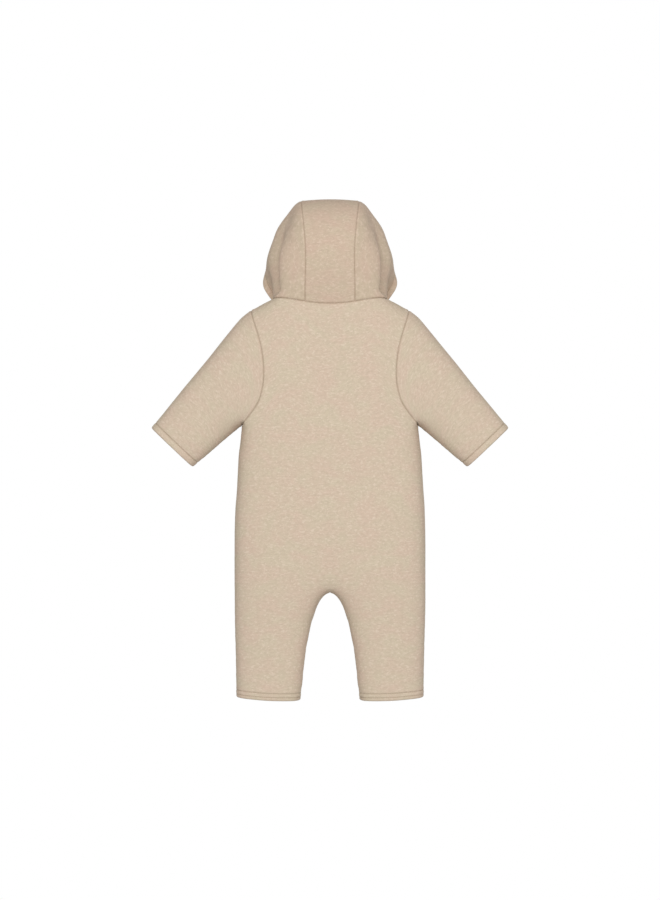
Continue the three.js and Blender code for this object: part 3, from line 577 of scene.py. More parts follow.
def thread_material():
    m, nt, b = tree("sewing_thread")
    uv = node(nt, "ShaderNodeUVMap", uv_map="UVMap").outputs[0]
    mm = node(nt, "ShaderNodeMapping", {"Vector": uv, "Scale": (1000, 1000, 1)}).outputs[0]
    sep = node(nt, "ShaderNodeSeparateXYZ", {"Vector": mm})
    twist = math_node(nt, "SINE", math_node(nt, "MULTIPLY", math_node(nt, "ADD", sep.outputs[0], sep.outputs[1]), 2 * math.pi / 0.42))
    base = lin(196, 176, 152, 0.98)
    col = mix(nt, band(nt, twist, -1, 1), tuple(c * 0.8 for c in base[:3]) + (1,), base)
    nt.links.new(col, b.inputs["Base Color"])
    bp = node(nt, "ShaderNodeBump", {"Height": twist, "Strength": 0.5, "Distance": 0.00008})
    nt.links.new(bp.outputs[0], b.inputs["Normal"])
    nt.links.new(band(nt, twist, -1, 1, 0.62, 0.5), b.inputs["Roughness"])
    b.inputs["Specular IOR Level"].default_value = 0.35
    b.inputs["Sheen Weight"].default_value = 0.08
    return m


def plastic(name, rgb, k=1.0, rough=0.38):
    m, nt, b = tree(name)
    co = node(nt, "ShaderNodeTexCoord").outputs["Object"]
    n1 = node(nt, "ShaderNodeTexNoise", {"Vector": co, "Scale": 900.0, "Detail": 3.0, "Roughness": 0.6}).outputs["Fac"]
    base = lin(*rgb, k)
    nt.links.new(mix(nt, band(nt, n1, 0.35, 0.7), base, tuple(c * 0.88 for c in base[:3]) + (1,)), b.inputs["Base Color"])
    nt.links.new(band(nt, n1, 0.3, 0.7, rough - 0.06, rough + 0.12), b.inputs["Roughness"])
    bp = node(nt, "ShaderNodeBump", {"Height": n1, "Strength": 0.15, "Distance": 0.00005})
    nt.links.new(bp.outputs[0], b.inputs["Normal"])
    return m


def metal(name, rgb, rough=0.26):
    m, nt, b = tree(name)
    co = node(nt, "ShaderNodeTexCoord").outputs["Object"]
    mp = node(nt, "ShaderNodeMapping", {"Vector": co, "Scale": (5200, 5200, 260)}).outputs[0]
    brush = node(nt, "ShaderNodeTexNoise", {"Vector": mp, "Scale": 1.0, "Detail": 3.0, "Roughness": 0.6}).outputs["Fac"]
    spot = node(nt, "ShaderNodeTexNoise", {"Vector": co, "Scale": 420.0, "Detail": 4.0, "Roughness": 0.62}).outputs["Fac"]
    base = lin(*rgb)
    col = mix(nt, band(nt, spot, 0.42, 0.72, 0.0, 0.5), base, tuple(c * 0.72 for c in base[:3]) + (1,))
    nt.links.new(col, b.inputs["Base Color"])
    b.inputs["Metallic"].default_value = 1.0
    nt.links.new(math_node(nt, "ADD", band(nt, brush, 0.3, 0.7, rough - 0.05, rough + 0.1), band(nt, spot, 0.4, 0.7, 0.0, 0.12)), b.inputs["Roughness"])
    bp = node(nt, "ShaderNodeBump", {"Height": brush, "Strength": 0.12, "Distance": 0.00004})
    nt.links.new(bp.outputs[0], b.inputs["Normal"])
    return m


# the hood's colour is a darker copy of the same fleece: painted shade for the hood turning away from the light
BODY_RGB, SLEEVE_RGB, HOOD_SHADED_RGB = (211, 194, 174), (211, 194, 174), (207, 187, 167)
ALBEDO = 1.0
M_BODY = fleece("fleece_outer", BODY_RGB, ALBEDO)
M_SLEEVE = fleece("fleece_outer_sleeve", SLEEVE_RGB, ALBEDO)
M_HOOD_SHADED = fleece("fleece_outer_hood", HOOD_SHADED_RGB, ALBEDO)
M_IN = fleece("fleece_inner", (205, 187, 164), 0.96, loops=True)
M_THREAD = thread_material()
M_TAPE = woven("twill_tape", (203, 185, 161))
M_ZIPTAPE = woven("zip_tape_weave", (198, 180, 156), pitch=0.7, bump=0.5)
M_COIL = plastic("nylon_coil", (196, 177, 152))
M_METAL = metal("satin_nickel", (150, 146, 139), rough=0.36)
M_LABEL = woven("label_satin", (242, 235, 223), pitch=0.35, bump=0.35)

# ------------------------------------------------------------------ shared seam lines
side_l, inner_l, top_l, low_l, arm_l = smooth(SIDE), smooth(INNER_LEG), smooth(SLEEVE_TOP), smooth(SLEEVE_LOW), smooth(ARMHOLE)
neck_b, neck_f, shoulder_l = smooth(NECK_BACK), smooth(NECK_FRONT), smooth(SHOULDER)


def on_line(line, side, sgn=1, seam=False):
    q = line * np.array([sgn, 1])
    p, _ = cloth(q, side, np.ones(len(q), bool) if seam else None)
    if seam:
        p[:, 1] = 0
    return p


def arm3(side, sgn):
    q = at(arm_l, np.linspace(0, 1, 120)) * np.array([sgn, 1])
    on = np.zeros(len(q), bool)
    on[0] = on[-1] = True
    return cloth(q, side, on)[0]


def both(f):
    return [f(1), f(-1)]


SEAM_SIDE = {s: on_line(at(side_l, np.linspace(0, 1, 160)), 1, s, True) for s in (1, -1)}
SEAM_INNER = {s: on_line(at(inner_l, np.linspace(0, 1, 120)), 1, s, True) for s in (1, -1)}
SEAM_SHOULDER = {s: on_line(at(shoulder_l, np.linspace(0, 1, 30)), 1, s, True) for s in (1, -1)}
SEAM_ARM = {(side, s): arm3(side, s) for side in (1, -1) for s in (1, -1)}
SEAM_LOW = {s: on_line(at(low_l, np.linspace(0, 1, 60)), 1, s, True) for s in (1, -1)}


def neck3(side, sgn):
    q = at(neck_b if side > 0 else neck_f, np.linspace(0, 1, 70)) * np.array([sgn, 1])
    on = np.zeros(len(q), bool)
    on[-1] = True
    return cloth(q, side, on)[0]


SEAM_NECK = {(side, s): neck3(side, s) for side in (1, -1) for s in (1, -1)}
SEAM_FRONT = np.stack([np.zeros(40), np.full(40, -FRONT_FLAT), np.linspace(150.5, 206, 40)], -1)
_p, _ = cloth(np.stack([np.zeros(40), np.linspace(150.5, 206, 40)], -1), -1)
_p[0, 1] = 0
SEAM_FRONT = _p


def cloth_piece(name, xz, side, on, lines, mats, hems=(), extra=None, ripple_k=1.0, quiet=None, **more):
    """One panel: the cloth's outer face over grid xz with its seams formed, and its inner face."""
    P, N = cloth(xz, side, on)
    P[..., 1] = np.where(on, 0, P[..., 1])
    if extra is not None:
        P = extra(P, N)
    inner_P, inner_N = P.copy(), N
    # the seams' groove gets painted shade in its colour as well as its real dip
    Q, painted_shade = seam_form(P, N, lines, **more)
    fade = np.clip(near(P, lines)[0] / 14.0, 0, 1) if quiet is None else quiet(P)
    Q = Q + N * (ripple_k * ripple(P) * fade)[..., None]
    t = CLOTH
    I = Q - N * t
    # keep the inner face on its own side
    I[..., 1] = np.where(side * I[..., 1] < 0.12, side * 0.12, I[..., 1])
    Q[..., 1] = np.where(side * Q[..., 1] < 0, 0, Q[..., 1])
    return shell(name, Q, I, arc_uv(P), mats, painted_shade=painted_shade)


# ------------------------------------------------------------------ torso back
def half_us(n, fine=0.004):
    return gap_spread(n, fine)


US_LEG = half_us(46, 0.004)
US_FULL = np.concatenate([0.5 - 0.5 * US_LEG[::-1], 0.5 + 0.5 * US_LEG[1:]])
s0 = share_at_z(side_l, SPLIT)
edge_side = at(side_l, np.linspace(s0, 1, 90))
edge_arm = at(arm_l[::-1], np.linspace(0, 1, 90))
torso_edge = np.concatenate([edge_side, edge_arm[1:]])
L1, L2 = lengths(edge_side)[-1], lengths(edge_arm)[-1]
PART = L1 / (L1 + L2)
VS = np.concatenate([np.linspace(0, PART, 84), PART + (1 - PART) * gap_spread(74, 0.006)[1:]])
top_line = np.concatenate([mirror(shoulder_l[::-1]), mirror(neck_b[::-1])[1:], neck_b[1:], shoulder_l[1:]])
xs = edge_side[0, 0]
xz = patch(np.array([[-xs, SPLIT], [xs, SPLIT]]), top_line, mirror(torso_edge), torso_edge, US_FULL, VS)
on = np.zeros(xz.shape[:2], bool)
on[VS <= PART + 1e-9, 0] = on[VS <= PART + 1e-9, -1] = True
on[-1, np.abs(xz[-1, :, 0]) >= 79.9] = True
back_lines = [SEAM_ARM[1, 1], SEAM_ARM[1, -1], SEAM_NECK[1, 1], SEAM_NECK[1, -1], SEAM_SHOULDER[1], SEAM_SHOULDER[-1], SEAM_SIDE[1], SEAM_SIDE[-1]]
back = cloth_piece("back", xz, 1, on, back_lines, (M_BODY, M_IN))
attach(back, "torso")
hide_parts("back_panel")

# ------------------------------------------------------------------ fronts
front_xz = {}
for who, s in (("left", 1), ("right", -1)):
    centre = np.array([[0, SPLIT], [0.0, 205.2], [1.6, 206.8], [5.0, 209.6], [6.6, 212.6], [ZIP_EDGE, 217], [ZIP_EDGE, 300], [ZIP_EDGE, 400], [ZIP_EDGE, 528]])
    top_f = np.concatenate([neck_f, shoulder_l[1:]])
    vf = np.concatenate([np.linspace(0, 0.035, 12), np.linspace(0.035, PART, 78)[1:], PART + (1 - PART) * gap_spread(74, 0.006)[1:]])
    g = patch(np.array([[0, SPLIT], [xs, SPLIT]]), top_f, centre, torso_edge, US_LEG, vf)
    on = np.zeros(g.shape[:2], bool)
    on[vf <= PART + 1e-9, -1] = True
    on[-1, g[-1, :, 0] >= 79.9] = True
    g = g * np.array([s, 1])
    lines = [SEAM_ARM[-1, s], SEAM_NECK[-1, s], SEAM_SHOULDER[s], SEAM_SIDE[s], SEAM_SIDE[-s], SEAM_FRONT]
    zip_edge3 = np.stack([np.full(60, 7.0 * s), np.full(60, -FRONT_FLAT), np.linspace(214, 528, 60)], -1)

    def extra(P, N, s=s):
        # the front edge rolls in where it is turned under beside the zip
        d = np.abs(P[..., 0]) - ZIP_EDGE
        m = (P[..., 2] > 207) & (d < 12)
        roll = np.where(m, 1.5 * np.exp(-((np.maximum(d, 0) / 1.1) ** 2)) - 0.35 * np.exp(-(((d - 3.2) / 1.8) ** 2)) + 0.35 * np.exp(-(((d - 6.2) / 0.7) ** 2)), 0)
        roll = roll * np.clip((P[..., 2] - 207) / 5, 0, 1)
        return P - N * roll[..., None]

    def quiet(P, s=s, lines=lines):
        f = np.clip(near(P, lines)[0] / 14.0, 0, 1)
        return f * np.clip((np.abs(P[..., 0]) - 8) / 20, 0, 1) ** np.where(P[..., 2] > 209, 1, 0)
    ob = cloth_piece(f"front_{who}", g, -1, on, lines, (M_BODY, M_IN), extra=extra, quiet=quiet)
    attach(ob, "torso")
    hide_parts(f"front_{who}_panel")


# ------------------------------------------------------------------ rings and strips
def loft(name, P, uv, mats, wrap_i=False, wrap_j=False, cap_j=False, painted_shade=None, face_mat=None, crease=50, object_space=False):
    """A surface through grid P (m, n, 3). wrap_i and wrap_j close it; cap_j closes each end row with a fan of quads."""
    m, n = P.shape[:2]
    V = P.reshape(-1, 3) if object_space else to_row(P.reshape(-1, 3))
    idx = np.arange(m * n).reshape(m, n)
    a = np.concatenate([idx, idx[:1]]) if wrap_i else idx
    a = np.concatenate([a, a[:, :1]], axis=1) if wrap_j else a
    q = [a[:-1, :-1].ravel(), a[:-1, 1:].ravel(), a[1:, 1:].ravel(), a[1:, :-1].ravel()]
    F = np.stack(q, 1)
    # UVs by face corner, so that a closed turn doesn't smear
    um, un = a.shape
    uvg = uv if uv.shape[:2] == (um, un) else None
    me_faces = [tuple(int(i) for i in f) for f in F]
    uv_faces = None
    if uvg is not None:
        ui = np.arange(um * un).reshape(um, un)
        UF = np.stack([ui[:-1, :-1].ravel(), ui[:-1, 1:].ravel(), ui[1:, 1:].ravel(), ui[1:, :-1].ravel()], 1)
        uv_faces = [tuple(int(i) for i in f) for f in UF]
    tri = V[F]
    vol = (tri[:, 0] * np.cross(tri[:, 1], tri[:, 2])).sum() + (tri[:, 0] * np.cross(tri[:, 2], tri[:, 3])).sum()
    if cap_j:
        for col, back in ((idx[:, 0], False), (idx[:, -1], True)):
            c = list(col)
            k = len(c)
            for t in range(k // 2 - 1 + (k % 2)):
                f = [c[t], c[t + 1], c[k - 2 - t], c[k - 1 - t]]
                f = list(dict.fromkeys(f))
                if len(f) < 3:
                    continue
                if back:
                    f = f[::-1]
                me_faces.append(tuple(int(i) for i in f))
                if uv_faces is not None:
                    uv_faces.append(tuple(int(ui[i // n, 0]) for i in f))
    if vol < 0:
        me_faces = [f[::-1] for f in me_faces]
        if uv_faces is not None:
            uv_faces = [f[::-1] for f in uv_faces]
    me = bpy.data.meshes.new(name)
    me.from_pydata([tuple(v) for v in V], [], me_faces)
    layer = me.uv_layers.new(name="UVMap")
    if uv_faces is not None:
        flat_uv = uv.reshape(-1, 2)
        layer.data.foreach_set("uv", np.array([flat_uv[i] for f in uv_faces for i in f], np.float32).ravel())
    else:
        loops = np.empty(len(me.loops), int)
        me.loops.foreach_get("vertex_index", loops)
        layer.data.foreach_set("uv", uv.reshape(-1, 2).astype(np.float32)[loops].ravel())
    for mt in mats:
        me.materials.append(mt)
    if face_mat is not None:
        fm = np.zeros(len(me.polygons), np.int32)
        fm[:len(face_mat)] = face_mat
        me.polygons.foreach_set("material_index", fm)
    me.polygons.foreach_set("use_smooth", np.full(len(me.polygons), True))
    # painted shade from seams and stitch rows, kept per point; the fleece material darkens its colour by it
    if painted_shade is not None:
        at_ = me.attributes.new("painted_seam_shade", "FLOAT", "POINT")
        at_.data.foreach_set("value", np.asarray(painted_shade, np.float32).ravel())
    if crease:
        me.set_sharp_from_angle(angle=math.radians(crease))
    me.update()
    ob = bpy.data.objects.new(name, me)
    scene.collection.objects.link(ob)
    return ob


def wrap_uv(P, wrap_i=False, v_of=None):
    """Arc-length UVs for a grid whose rows close on themselves; one more column than P."""
    Pw = np.concatenate([P, P[:, :1]], axis=1)
    d = np.linalg.norm(np.diff(Pw, axis=1), axis=-1)
    u = np.concatenate([np.zeros((P.shape[0], 1)), np.cumsum(d, 1)], 1)
    dv = np.linalg.norm(np.diff(P, axis=0), axis=-1).mean(1)
    v = np.concatenate([[0], np.cumsum(dv)])
    if wrap_i:
        u = np.concatenate([u, u[:1]])
        v = np.concatenate([v, [v[-1] + 0.003]])
    return np.stack([u, v[:, None] + np.zeros_like(u)], -1) / 1000.0


def ring_points(xz, depth=0.0):
    """Rows of pattern points (m, k, 2) taken round the front and back: (m, 2k - 2, 3) positions and normals."""
    on = np.zeros(xz.shape[:2], bool)
    on[:, 0] = on[:, -1] = True
    Pf, Nf = cloth(xz, -1, on)
    Pb, Nb = cloth(xz, 1, on)
    for P, N in ((Pf, Nf), (Pb, Nb)):
        P[:, 0, 1] = P[:, -1, 1] = 0
        N[:, 0, 1] = N[:, -1, 1] = 0
        N /= np.linalg.norm(N, axis=-1, keepdims=True)
    P = np.concatenate([Pf, Pb[:, 1:-1][:, ::-1]], 1)
    N = np.concatenate([Nf, Nb[:, 1:-1][:, ::-1]], 1)
    return P, N


def wrap_shell(name, O, I, uv, mats, painted_shade):
    """Closed tube wall: outer and inner rings (m, n, 3), open at both ends but for the rims."""
    m = O.shape[0]
    GRIDS[name] = np.concatenate([O, O[:, :1]], 1)
    P = np.concatenate([O, I[::-1]])
    uvw = np.concatenate([uv, uv[::-1]])
    uvw = np.concatenate([uvw, uvw[:1]])
    n = O.shape[1]
    fm = np.concatenate([np.zeros((m - 1) * n), np.zeros(n), np.ones((m - 1) * n), np.zeros(n)]).astype(np.int32)
    # painted seam shade on the outer wall, weaker on the inner wall
    return loft(name, P, uvw, mats, wrap_i=True, wrap_j=True, painted_shade=np.concatenate([painted_shade, painted_shade[::-1] * 0.4]), face_mat=fm)


HEM_T = 2 * CLOTH
STITCH_ROWS = {"cuff": (2.6,), "leg": (1.6, 7.2)}


def hem_profile(width, rows, fine=0.45):
    """Cross-section of a turned hem as (distance from its top, depth, kind): down the outside, round the fold, up the inside."""
    r = HEM_T / 2
    out = []
    s = 0.0
    while s < width - r:
        out.append((s, 0.0))
        s += fine if min(abs(s - q) for q in rows) < 1.6 else 1.0
    for a in np.linspace(0, math.pi, 12):
        out.append((width - r + r * math.sin(a), r - r * math.cos(a)))
    for s in np.linspace(width - r, 0.0, 9)[1:]:
        out.append((float(s), HEM_T))
    prof = []
    for s, d in out:
        outer = d < 0.01
        g = sum(0.62 * math.exp(-(((s - q) / 0.75) ** 2)) for q in rows) if outer else 0.0
        puff = -0.55 * math.sin(math.pi * min(1, max(0, s / width))) if outer else 0.0
        prof.append((s, d, g + puff * 0.0))
    return prof


def hem_ring(name, row_of, width, rows, mats, body, node_name, wave=0.16, flare=0.35):
    prof = hem_profile(width, rows)
    S = np.array([p[0] for p in prof])
    depth = np.array([p[1] for p in prof])
    g = np.array([p[2] for p in prof])
    xz = np.stack([row_of(s) for s in S])
    P, N = ring_points(xz)
    n = P.shape[1]
    arc = np.concatenate([[0], np.cumsum(np.linalg.norm(np.diff(np.concatenate([P[0], P[0][:1]]), axis=0), axis=1))])[:-1]
    scallop = wave * np.sin(2 * math.pi * arc / 3.3)[None, :] * np.exp(-((S[:, None] - rows[0]) / 3.2) ** 2)
    soft = 0.35 * np.sin(arc / 11.0 + 1.0)[None, :] * np.sin(np.clip(S / width, 0, 1) * math.pi / 2)[:, None] + 0.25 * np.sin(arc / 5.3)[None, :] * (np.clip(S / width, 0, 1) ** 2)[:, None]
    top = np.clip(S / 1.5, 0, 1)[:, None]
    lift = (flare * np.clip((S - rows[0]) / 3.0, 0, 1))[:, None]
    off = (-depth - g)[:, None] + (scallop * (depth < 0.01)[:, None] + soft * 0.6) * top + lift * (depth < HEM_T * 0.5)[:, None]
    Q = P + N * off[..., None]
    # painted shade in the stitch rows' grooves, softer on the two-row leg hems
    shade = np.exp(-((S - rows[0]) / 0.9) ** 2) * (depth < 0.01)
    for q in rows[1:]:
        shade = np.maximum(shade, 0.8 * np.exp(-((S - q) / 0.8) ** 2) * (depth < 0.01))
    painted_shade = np.repeat(shade[:, None] * (0.55 if len(rows) == 1 else 0.3), n, 1)
    ob = loft(name, Q, wrap_uv(Q, wrap_i=True), mats, wrap_i=True, wrap_j=True, painted_shade=painted_shade)
    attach(ob, body)
    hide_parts(node_name)
    paths = []
    for q in rows:
        k = int(np.argmin(np.abs(S - q) + 100 * (depth > 0.01)))
        paths.append((np.concatenate([Q[k], Q[k][:1]]), np.concatenate([N[k], N[k][:1]])))
    return ob, paths


def stitches(name, paths, body=None, pitch=3.1, length=2.35, radius=0.27, rise=0.16, mats=(None,), closed=False, blend=None, dip=0.32, ride=True):
    """Thread stitches along 3-D paths with normals: each is a short bent strand whose ends dip into the cloth."""
    V, F, UV = [], [], []
    sides = 6
    prof = [(-0.5, -dip, 0.55), (-0.36, rise * 0.55, 0.9), (-0.12, rise, 1.0), (0.12, rise, 1.0), (0.36, rise * 0.55, 0.9), (0.5, -dip, 0.55)]
    for line, nor in paths:
        s = lengths(line)
        count = max(1, int(s[-1] / pitch))
        step = s[-1] / count
        for k in range(count):
            mid = (k + 0.5) * step
            base = len(V)
            ring_c = []
            for a, h, w in prof:
                d = mid + a * length
                d = min(max(d, 0), s[-1])
                p = np.array([np.interp(d, s, line[:, c]) for c in range(3)])
                nn = np.array([np.interp(d, s, nor[:, c]) for c in range(3)])
                nn /= np.linalg.norm(nn) + 1e-9
                ring_c.append((p + nn * (h + radius * 0.5), nn, w))
            t = ring_c[-1][0] - ring_c[0][0]
            t /= np.linalg.norm(t) + 1e-9
            for i, (c, nn, w) in enumerate(ring_c):
                b = np.cross(t, nn)
                b /= np.linalg.norm(b) + 1e-9
                n2 = np.cross(b, t)
                for q in range(sides):
                    an = 2 * math.pi * q / sides
                    V.append(c + (b * math.cos(an) + n2 * math.sin(an)) * radius * w)
                    UV.append((q / sides * 1.6 / 1000, i * 0.5 / 1000))
            for i in range(len(prof) - 1):
                for q in range(sides):
                    a0, a1 = base + i * sides + q, base + i * sides + (q + 1) % sides
                    F.append((a0, a1, a1 + sides, a0 + sides))
            F.append(tuple(base + q for q in range(sides))[::-1])
            F.append(tuple(base + (len(prof) - 1) * sides + q for q in range(sides)))
    me = bpy.data.meshes.new(name)
    me.from_pydata([tuple(v) for v in to_row(np.array(V))], [], F)
    bm = bmesh.new()
    bm.from_mesh(me)
    bmesh.ops.recalc_face_normals(bm, faces=bm.faces)
    bm.to_mesh(me)
    bm.free()
    layer = me.uv_layers.new(name="UVMap")
    loops = np.empty(len(me.loops), int)
    me.loops.foreach_get("vertex_index", loops)
    layer.data.foreach_set("uv", np.array(UV, np.float32)[loops].ravel())
    me.materials.append(mats[0] or M_THREAD)
    me.polygons.foreach_set("use_smooth", np.full(len(me.polygons), True))
    me.update()
    ob = bpy.data.objects.new(name, me)
    scene.collection.objects.link(ob)
    if body:
        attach(ob, body)
    return ob


# ------------------------------------------------------------------ sleeves
US_RING = gap_spread(38, 0.006)
LT, LL = lengths(top_l)[-1], lengths(low_l)[-1]


def bend(ob, direction):
    """Bakes the object's placement into its mesh. Nothing is bent: direction (pattern mm) is only normalised."""
    d = np.array(direction, float)
    d /= np.linalg.norm(d)
    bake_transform(ob)


for who, s in (("left", 1), ("right", -1)):
    sg = np.array([s, 1])
    tT, tL = 1 - HEM / LT, 1 - HEM / LL
    vs = np.concatenate([gap_spread(80, 0.006)[:-6], [1.0]])
    vs = np.concatenate([np.linspace(0, 1, 81) ** 1.0])
    vs = np.sort(np.unique(np.concatenate([np.array([0.006, 0.012, 0.019, 0.027]), vs])))
    end = np.array([at(top_l, tT), at(low_l, tL)])
    g = patch(at(arm_l, np.linspace(0, 1, 160)), end, cut(top_l, 0, tT), cut(low_l, 0, tL), US_RING, vs) * sg
    P, N = ring_points(g)
    lines = [SEAM_ARM[1, s], SEAM_ARM[-1, s], SEAM_LOW[s]]
    # painted shade along the sleeve's seams as well as their real dip
    Q, painted_shade = seam_form(P, N, lines)
    d_arm, _ = near(P, lines[:2])
    end_d = (1 - vs)[:, None] * 150
    fade = np.clip(d_arm / 14, 0, 1) * np.clip(end_d / 12, 0, 1)
    Q = Q + N * (ripple(P) * fade)[..., None]
    I = Q - N * CLOTH
    ob = wrap_shell(f"{who}_sleeve_cloth", Q, I, wrap_uv(P), (M_SLEEVE, M_IN), painted_shade)
    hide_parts(f"{who}_sleeve")
    bend(ob, [0.997 * s, 0, 0.076])

    def row_of(d, s=s):
        a = at(top_l, np.array([tT + d / LT]))[0]
        b = at(low_l, np.array([tL + d / LL]))[0]
        return (a + (b - a) * US_RING[:, None]) * np.array([s, 1])
    hem, paths = hem_ring(f"{who}_cuff", row_of, HEM, STITCH_ROWS["cuff"], (M_SLEEVE,), f"{who}_sleeve", f"{who}_cuff_hem")
    stitches(f"{who}_cuff_stitching", paths, f"{who}_sleeve")

# ------------------------------------------------------------------ legs
for who, s in (("left", 1), ("right", -1)):
    sg = np.array([s, 1])
    z_in, z_out = HEM, HEM + 4.5
    inner = np.array(at(inner_l, np.linspace(share_at_z(inner_l, z_in), 1, 90)))
    mid_z = share_at_z(side_l, 152.5)
    outer_low = at(side_l, np.linspace(share_at_z(side_l, z_out), mid_z, 60))
    outer_up = at(side_l, np.linspace(mid_z, share_at_z(side_l, SPLIT), 30))
    hem_up = smooth(HEM_LINE) + np.array([0, HEM])
    hem_up[0], hem_up[-1] = inner[0], outer_low[0]
    middle = np.array([inner[-1], outer_low[-1]])
    v1, v2 = np.linspace(0, 1, 62), np.linspace(0, 1, 22)
    g1 = patch(hem_up, middle, inner, outer_low, US_LEG, v1)
    g2 = patch(middle, np.array([[0, SPLIT], [xs, SPLIT]]), np.array([inner[-1], [0, SPLIT]]), outer_up, US_LEG, v2)
    g = np.concatenate([g1, g2[1:]]) * sg
    on = np.zeros(g.shape[:2], bool)
    on[:, -1] = True
    on[:62, 0] = True
    for face, side in (("back", 1), ("front", -1)):
        lines = [SEAM_SIDE[1], SEAM_SIDE[-1], SEAM_INNER[1], SEAM_INNER[-1]]
        if side < 0:
            lines.append(SEAM_FRONT)
        hem_z = np.interp(np.abs(g[..., 0]), [42, 130.9], [z_in, z_out])

        def quiet(P, lines=lines, hem_z=hem_z):
            return np.clip(near(P, lines)[0] / 14.0, 0, 1) * np.clip((P[..., 2] - hem_z) / 12, 0, 1)
        ob = cloth_piece(f"{who}_leg_{face}_cloth", g, side, on, lines, (M_BODY, M_IN), quiet=quiet)
        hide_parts(f"{who}_leg_{face}")
        bend(ob, [0.349 * s, 0, -0.937])

    def row_of(d, s=s):
        up = HEM - d
        line = smooth(HEM_LINE) + np.array([0, up])
        line[0] = at(inner_l, share_at_z(inner_l, up))
        line[-1] = at(side_l, share_at_z(side_l, up + 4.5))
        return at(line, US_LEG) * np.array([s, 1])
    hem, paths = hem_ring(f"{who}_leg_turnup", row_of, HEM, STITCH_ROWS["leg"], (M_BODY,), f"{who}_leg", f"{who}_leg_hem")
    stitches(f"{who}_leg_stitching", paths, f"{who}_leg")

# ------------------------------------------------------------------ hood
def ring3(q, side):
    """Neck line points (k, 2) on the cloth, the last one on the shoulder seam."""
    on = q[:, 0] >= 79.99
    return cloth(q, side, on)[0]


ring_f = ring3(smooth(NECK_FRONT, 16), -1)
ring_b = ring3(smooth(NECK_BACK, 16), 1)
ring_f[-1, 1] = ring_b[-1, 1] = 0
SEAM_X = 34.7


def back_at(x):
    q = smooth(NECK_BACK, 24)
    z = np.interp(x, q[:, 0], q[:, 1])
    return cloth(np.stack([x, z], -1), 1, np.zeros(np.shape(x), bool))[0]


A_PT = back_at(np.array([SEAM_X]))[0]
keep_b = ring_b[::-1][(ring_b[::-1][:, 0] > SEAM_X) & (ring_b[::-1][:, 0] < 79.9)]
RING = np.concatenate([ring_f, keep_b, [A_PT]])
PROFILE = smooth([list(A_PT), [34.6, 48, 580], [34, 54.5, 605], [34.2, 56.5, 630], [36, 52.5, 655], [38.2, 42, 676], [39.8, 25, 691], [40.6, 4, 698], [40.8, -20, 699], [40.7, -44, 697], [40.6, -63, 693]])
D_PT = ring_f[0]
FACE = smooth([list(D_PT), [20, -38.5, 533.5], [38, -39.5, 540.6], [54, -40.5, 549.2], [66, -41.5, 558.6], [74.5, -42.5, 567], [81.5, -43.5, 576.5], [87.5, -45, 586.5], [91, -47.5, 596.5], [91, -51, 607.5], [88.4, -54.5, 621], [84, -58, 636], [78, -61.5, 651], [69.5, -63.5, 666], [59, -64.5, 680], [49, -64, 689], [40.6, -63, 693]])


def hood_side(a, r):
    """The side panel's outer face: a from the neck (0) to the face (1), r from the front corner (0) to the crown seam (1)."""
    a, r = np.broadcast_arrays(np.asarray(a, float), np.asarray(r, float))
    n, f, s = at(RING, r.ravel()).reshape(*r.shape, 3), at(FACE, r.ravel()).reshape(*r.shape, 3), at(PROFILE, a.ravel()).reshape(*a.shape, 3)
    b = PROFILE[-1]
    a_, r_ = a[..., None], r[..., None]
    return (1 - a_) * n + a_ * f + r_ * (s - (1 - a_) * A_PT - a_ * b)


def ramp(v):
    t = np.clip(v, 0, 1)
    return t * t * (3 - 2 * t)


FOLD = 13.5


def fold_in(P):
    """The soft upright fold down each side of the hood, and the slim of its crown."""
    x, y, z = P[..., 0], P[..., 1], P[..., 2]
    high = ramp((z - 561.5) / 13) * np.clip((692 - z) / 58, 0, 1)
    w = np.where(y > 15, 19.0, 11.0)
    slim = 4 * ramp((z - 615) / 35) * ramp((704 - z) / 18) * ramp((x - 42) / 26) * ramp((y + 66) / 30)
    out = P.copy()
    out[..., 0] = x - FOLD * high * ramp((x - 36) / 30) * np.exp(-(((y - 15) / w) ** 2)) - slim
    return out


def soften(A, n=3, times=2):
    k = np.ones(2 * n + 1) / (2 * n + 1)
    for _ in range(times):
        pad = np.concatenate([np.repeat(A[:1], n, 0), A, np.repeat(A[-1:], n, 0)])
        A = np.stack([np.convolve(pad[:, c], k, "valid") for c in range(A.shape[1])], -1)
    return A


def unit(v):
    return v / np.maximum(np.linalg.norm(v, axis=-1, keepdims=True), 1e-12)


AL = gap_spread(72, 0.007)
RH = np.concatenate([[0.012], gap_spread(84, 0.006)[1:]])
RH = np.unique(np.concatenate([[0.012, 0.022], RH[RH > 0.03]]))
base_side = hood_side(AL[:, None], RH[None, :])
base_side = fold_in(base_side)
N_side = grid_normals(base_side)
if (N_side[30, 40] * np.array([1, 0.3, 0.5])).sum() < 0:
    N_side = -N_side


def profile_normal(a):
    e = 0.01
    t = at(PROFILE, np.minimum(1, a + e)) - at(PROFILE, np.maximum(0, a - e))
    n = np.stack([np.zeros(len(t)), t[:, 2], -t[:, 1]], -1)
    return unit(n)


PN = profile_normal(AL)
SN = unit(PN + N_side[:, -2])
N_side[:, -1] = SN
flatten = np.clip(1 - AL / 0.06, 0, 1)[:, None]
N_side[..., 2] *= 1 - flatten
N_side = unit(N_side)
seam_crown = at(PROFILE, np.linspace(0, 1, 200))
ring_whole = np.concatenate([ring_f, ring_b[::-1]])
face_line = at(FACE, np.linspace(0, 1, 240))


def crease_shade(P):
    x, y, z = np.abs(P[..., 0]), P[..., 1], P[..., 2]
    return np.zeros(x.shape)


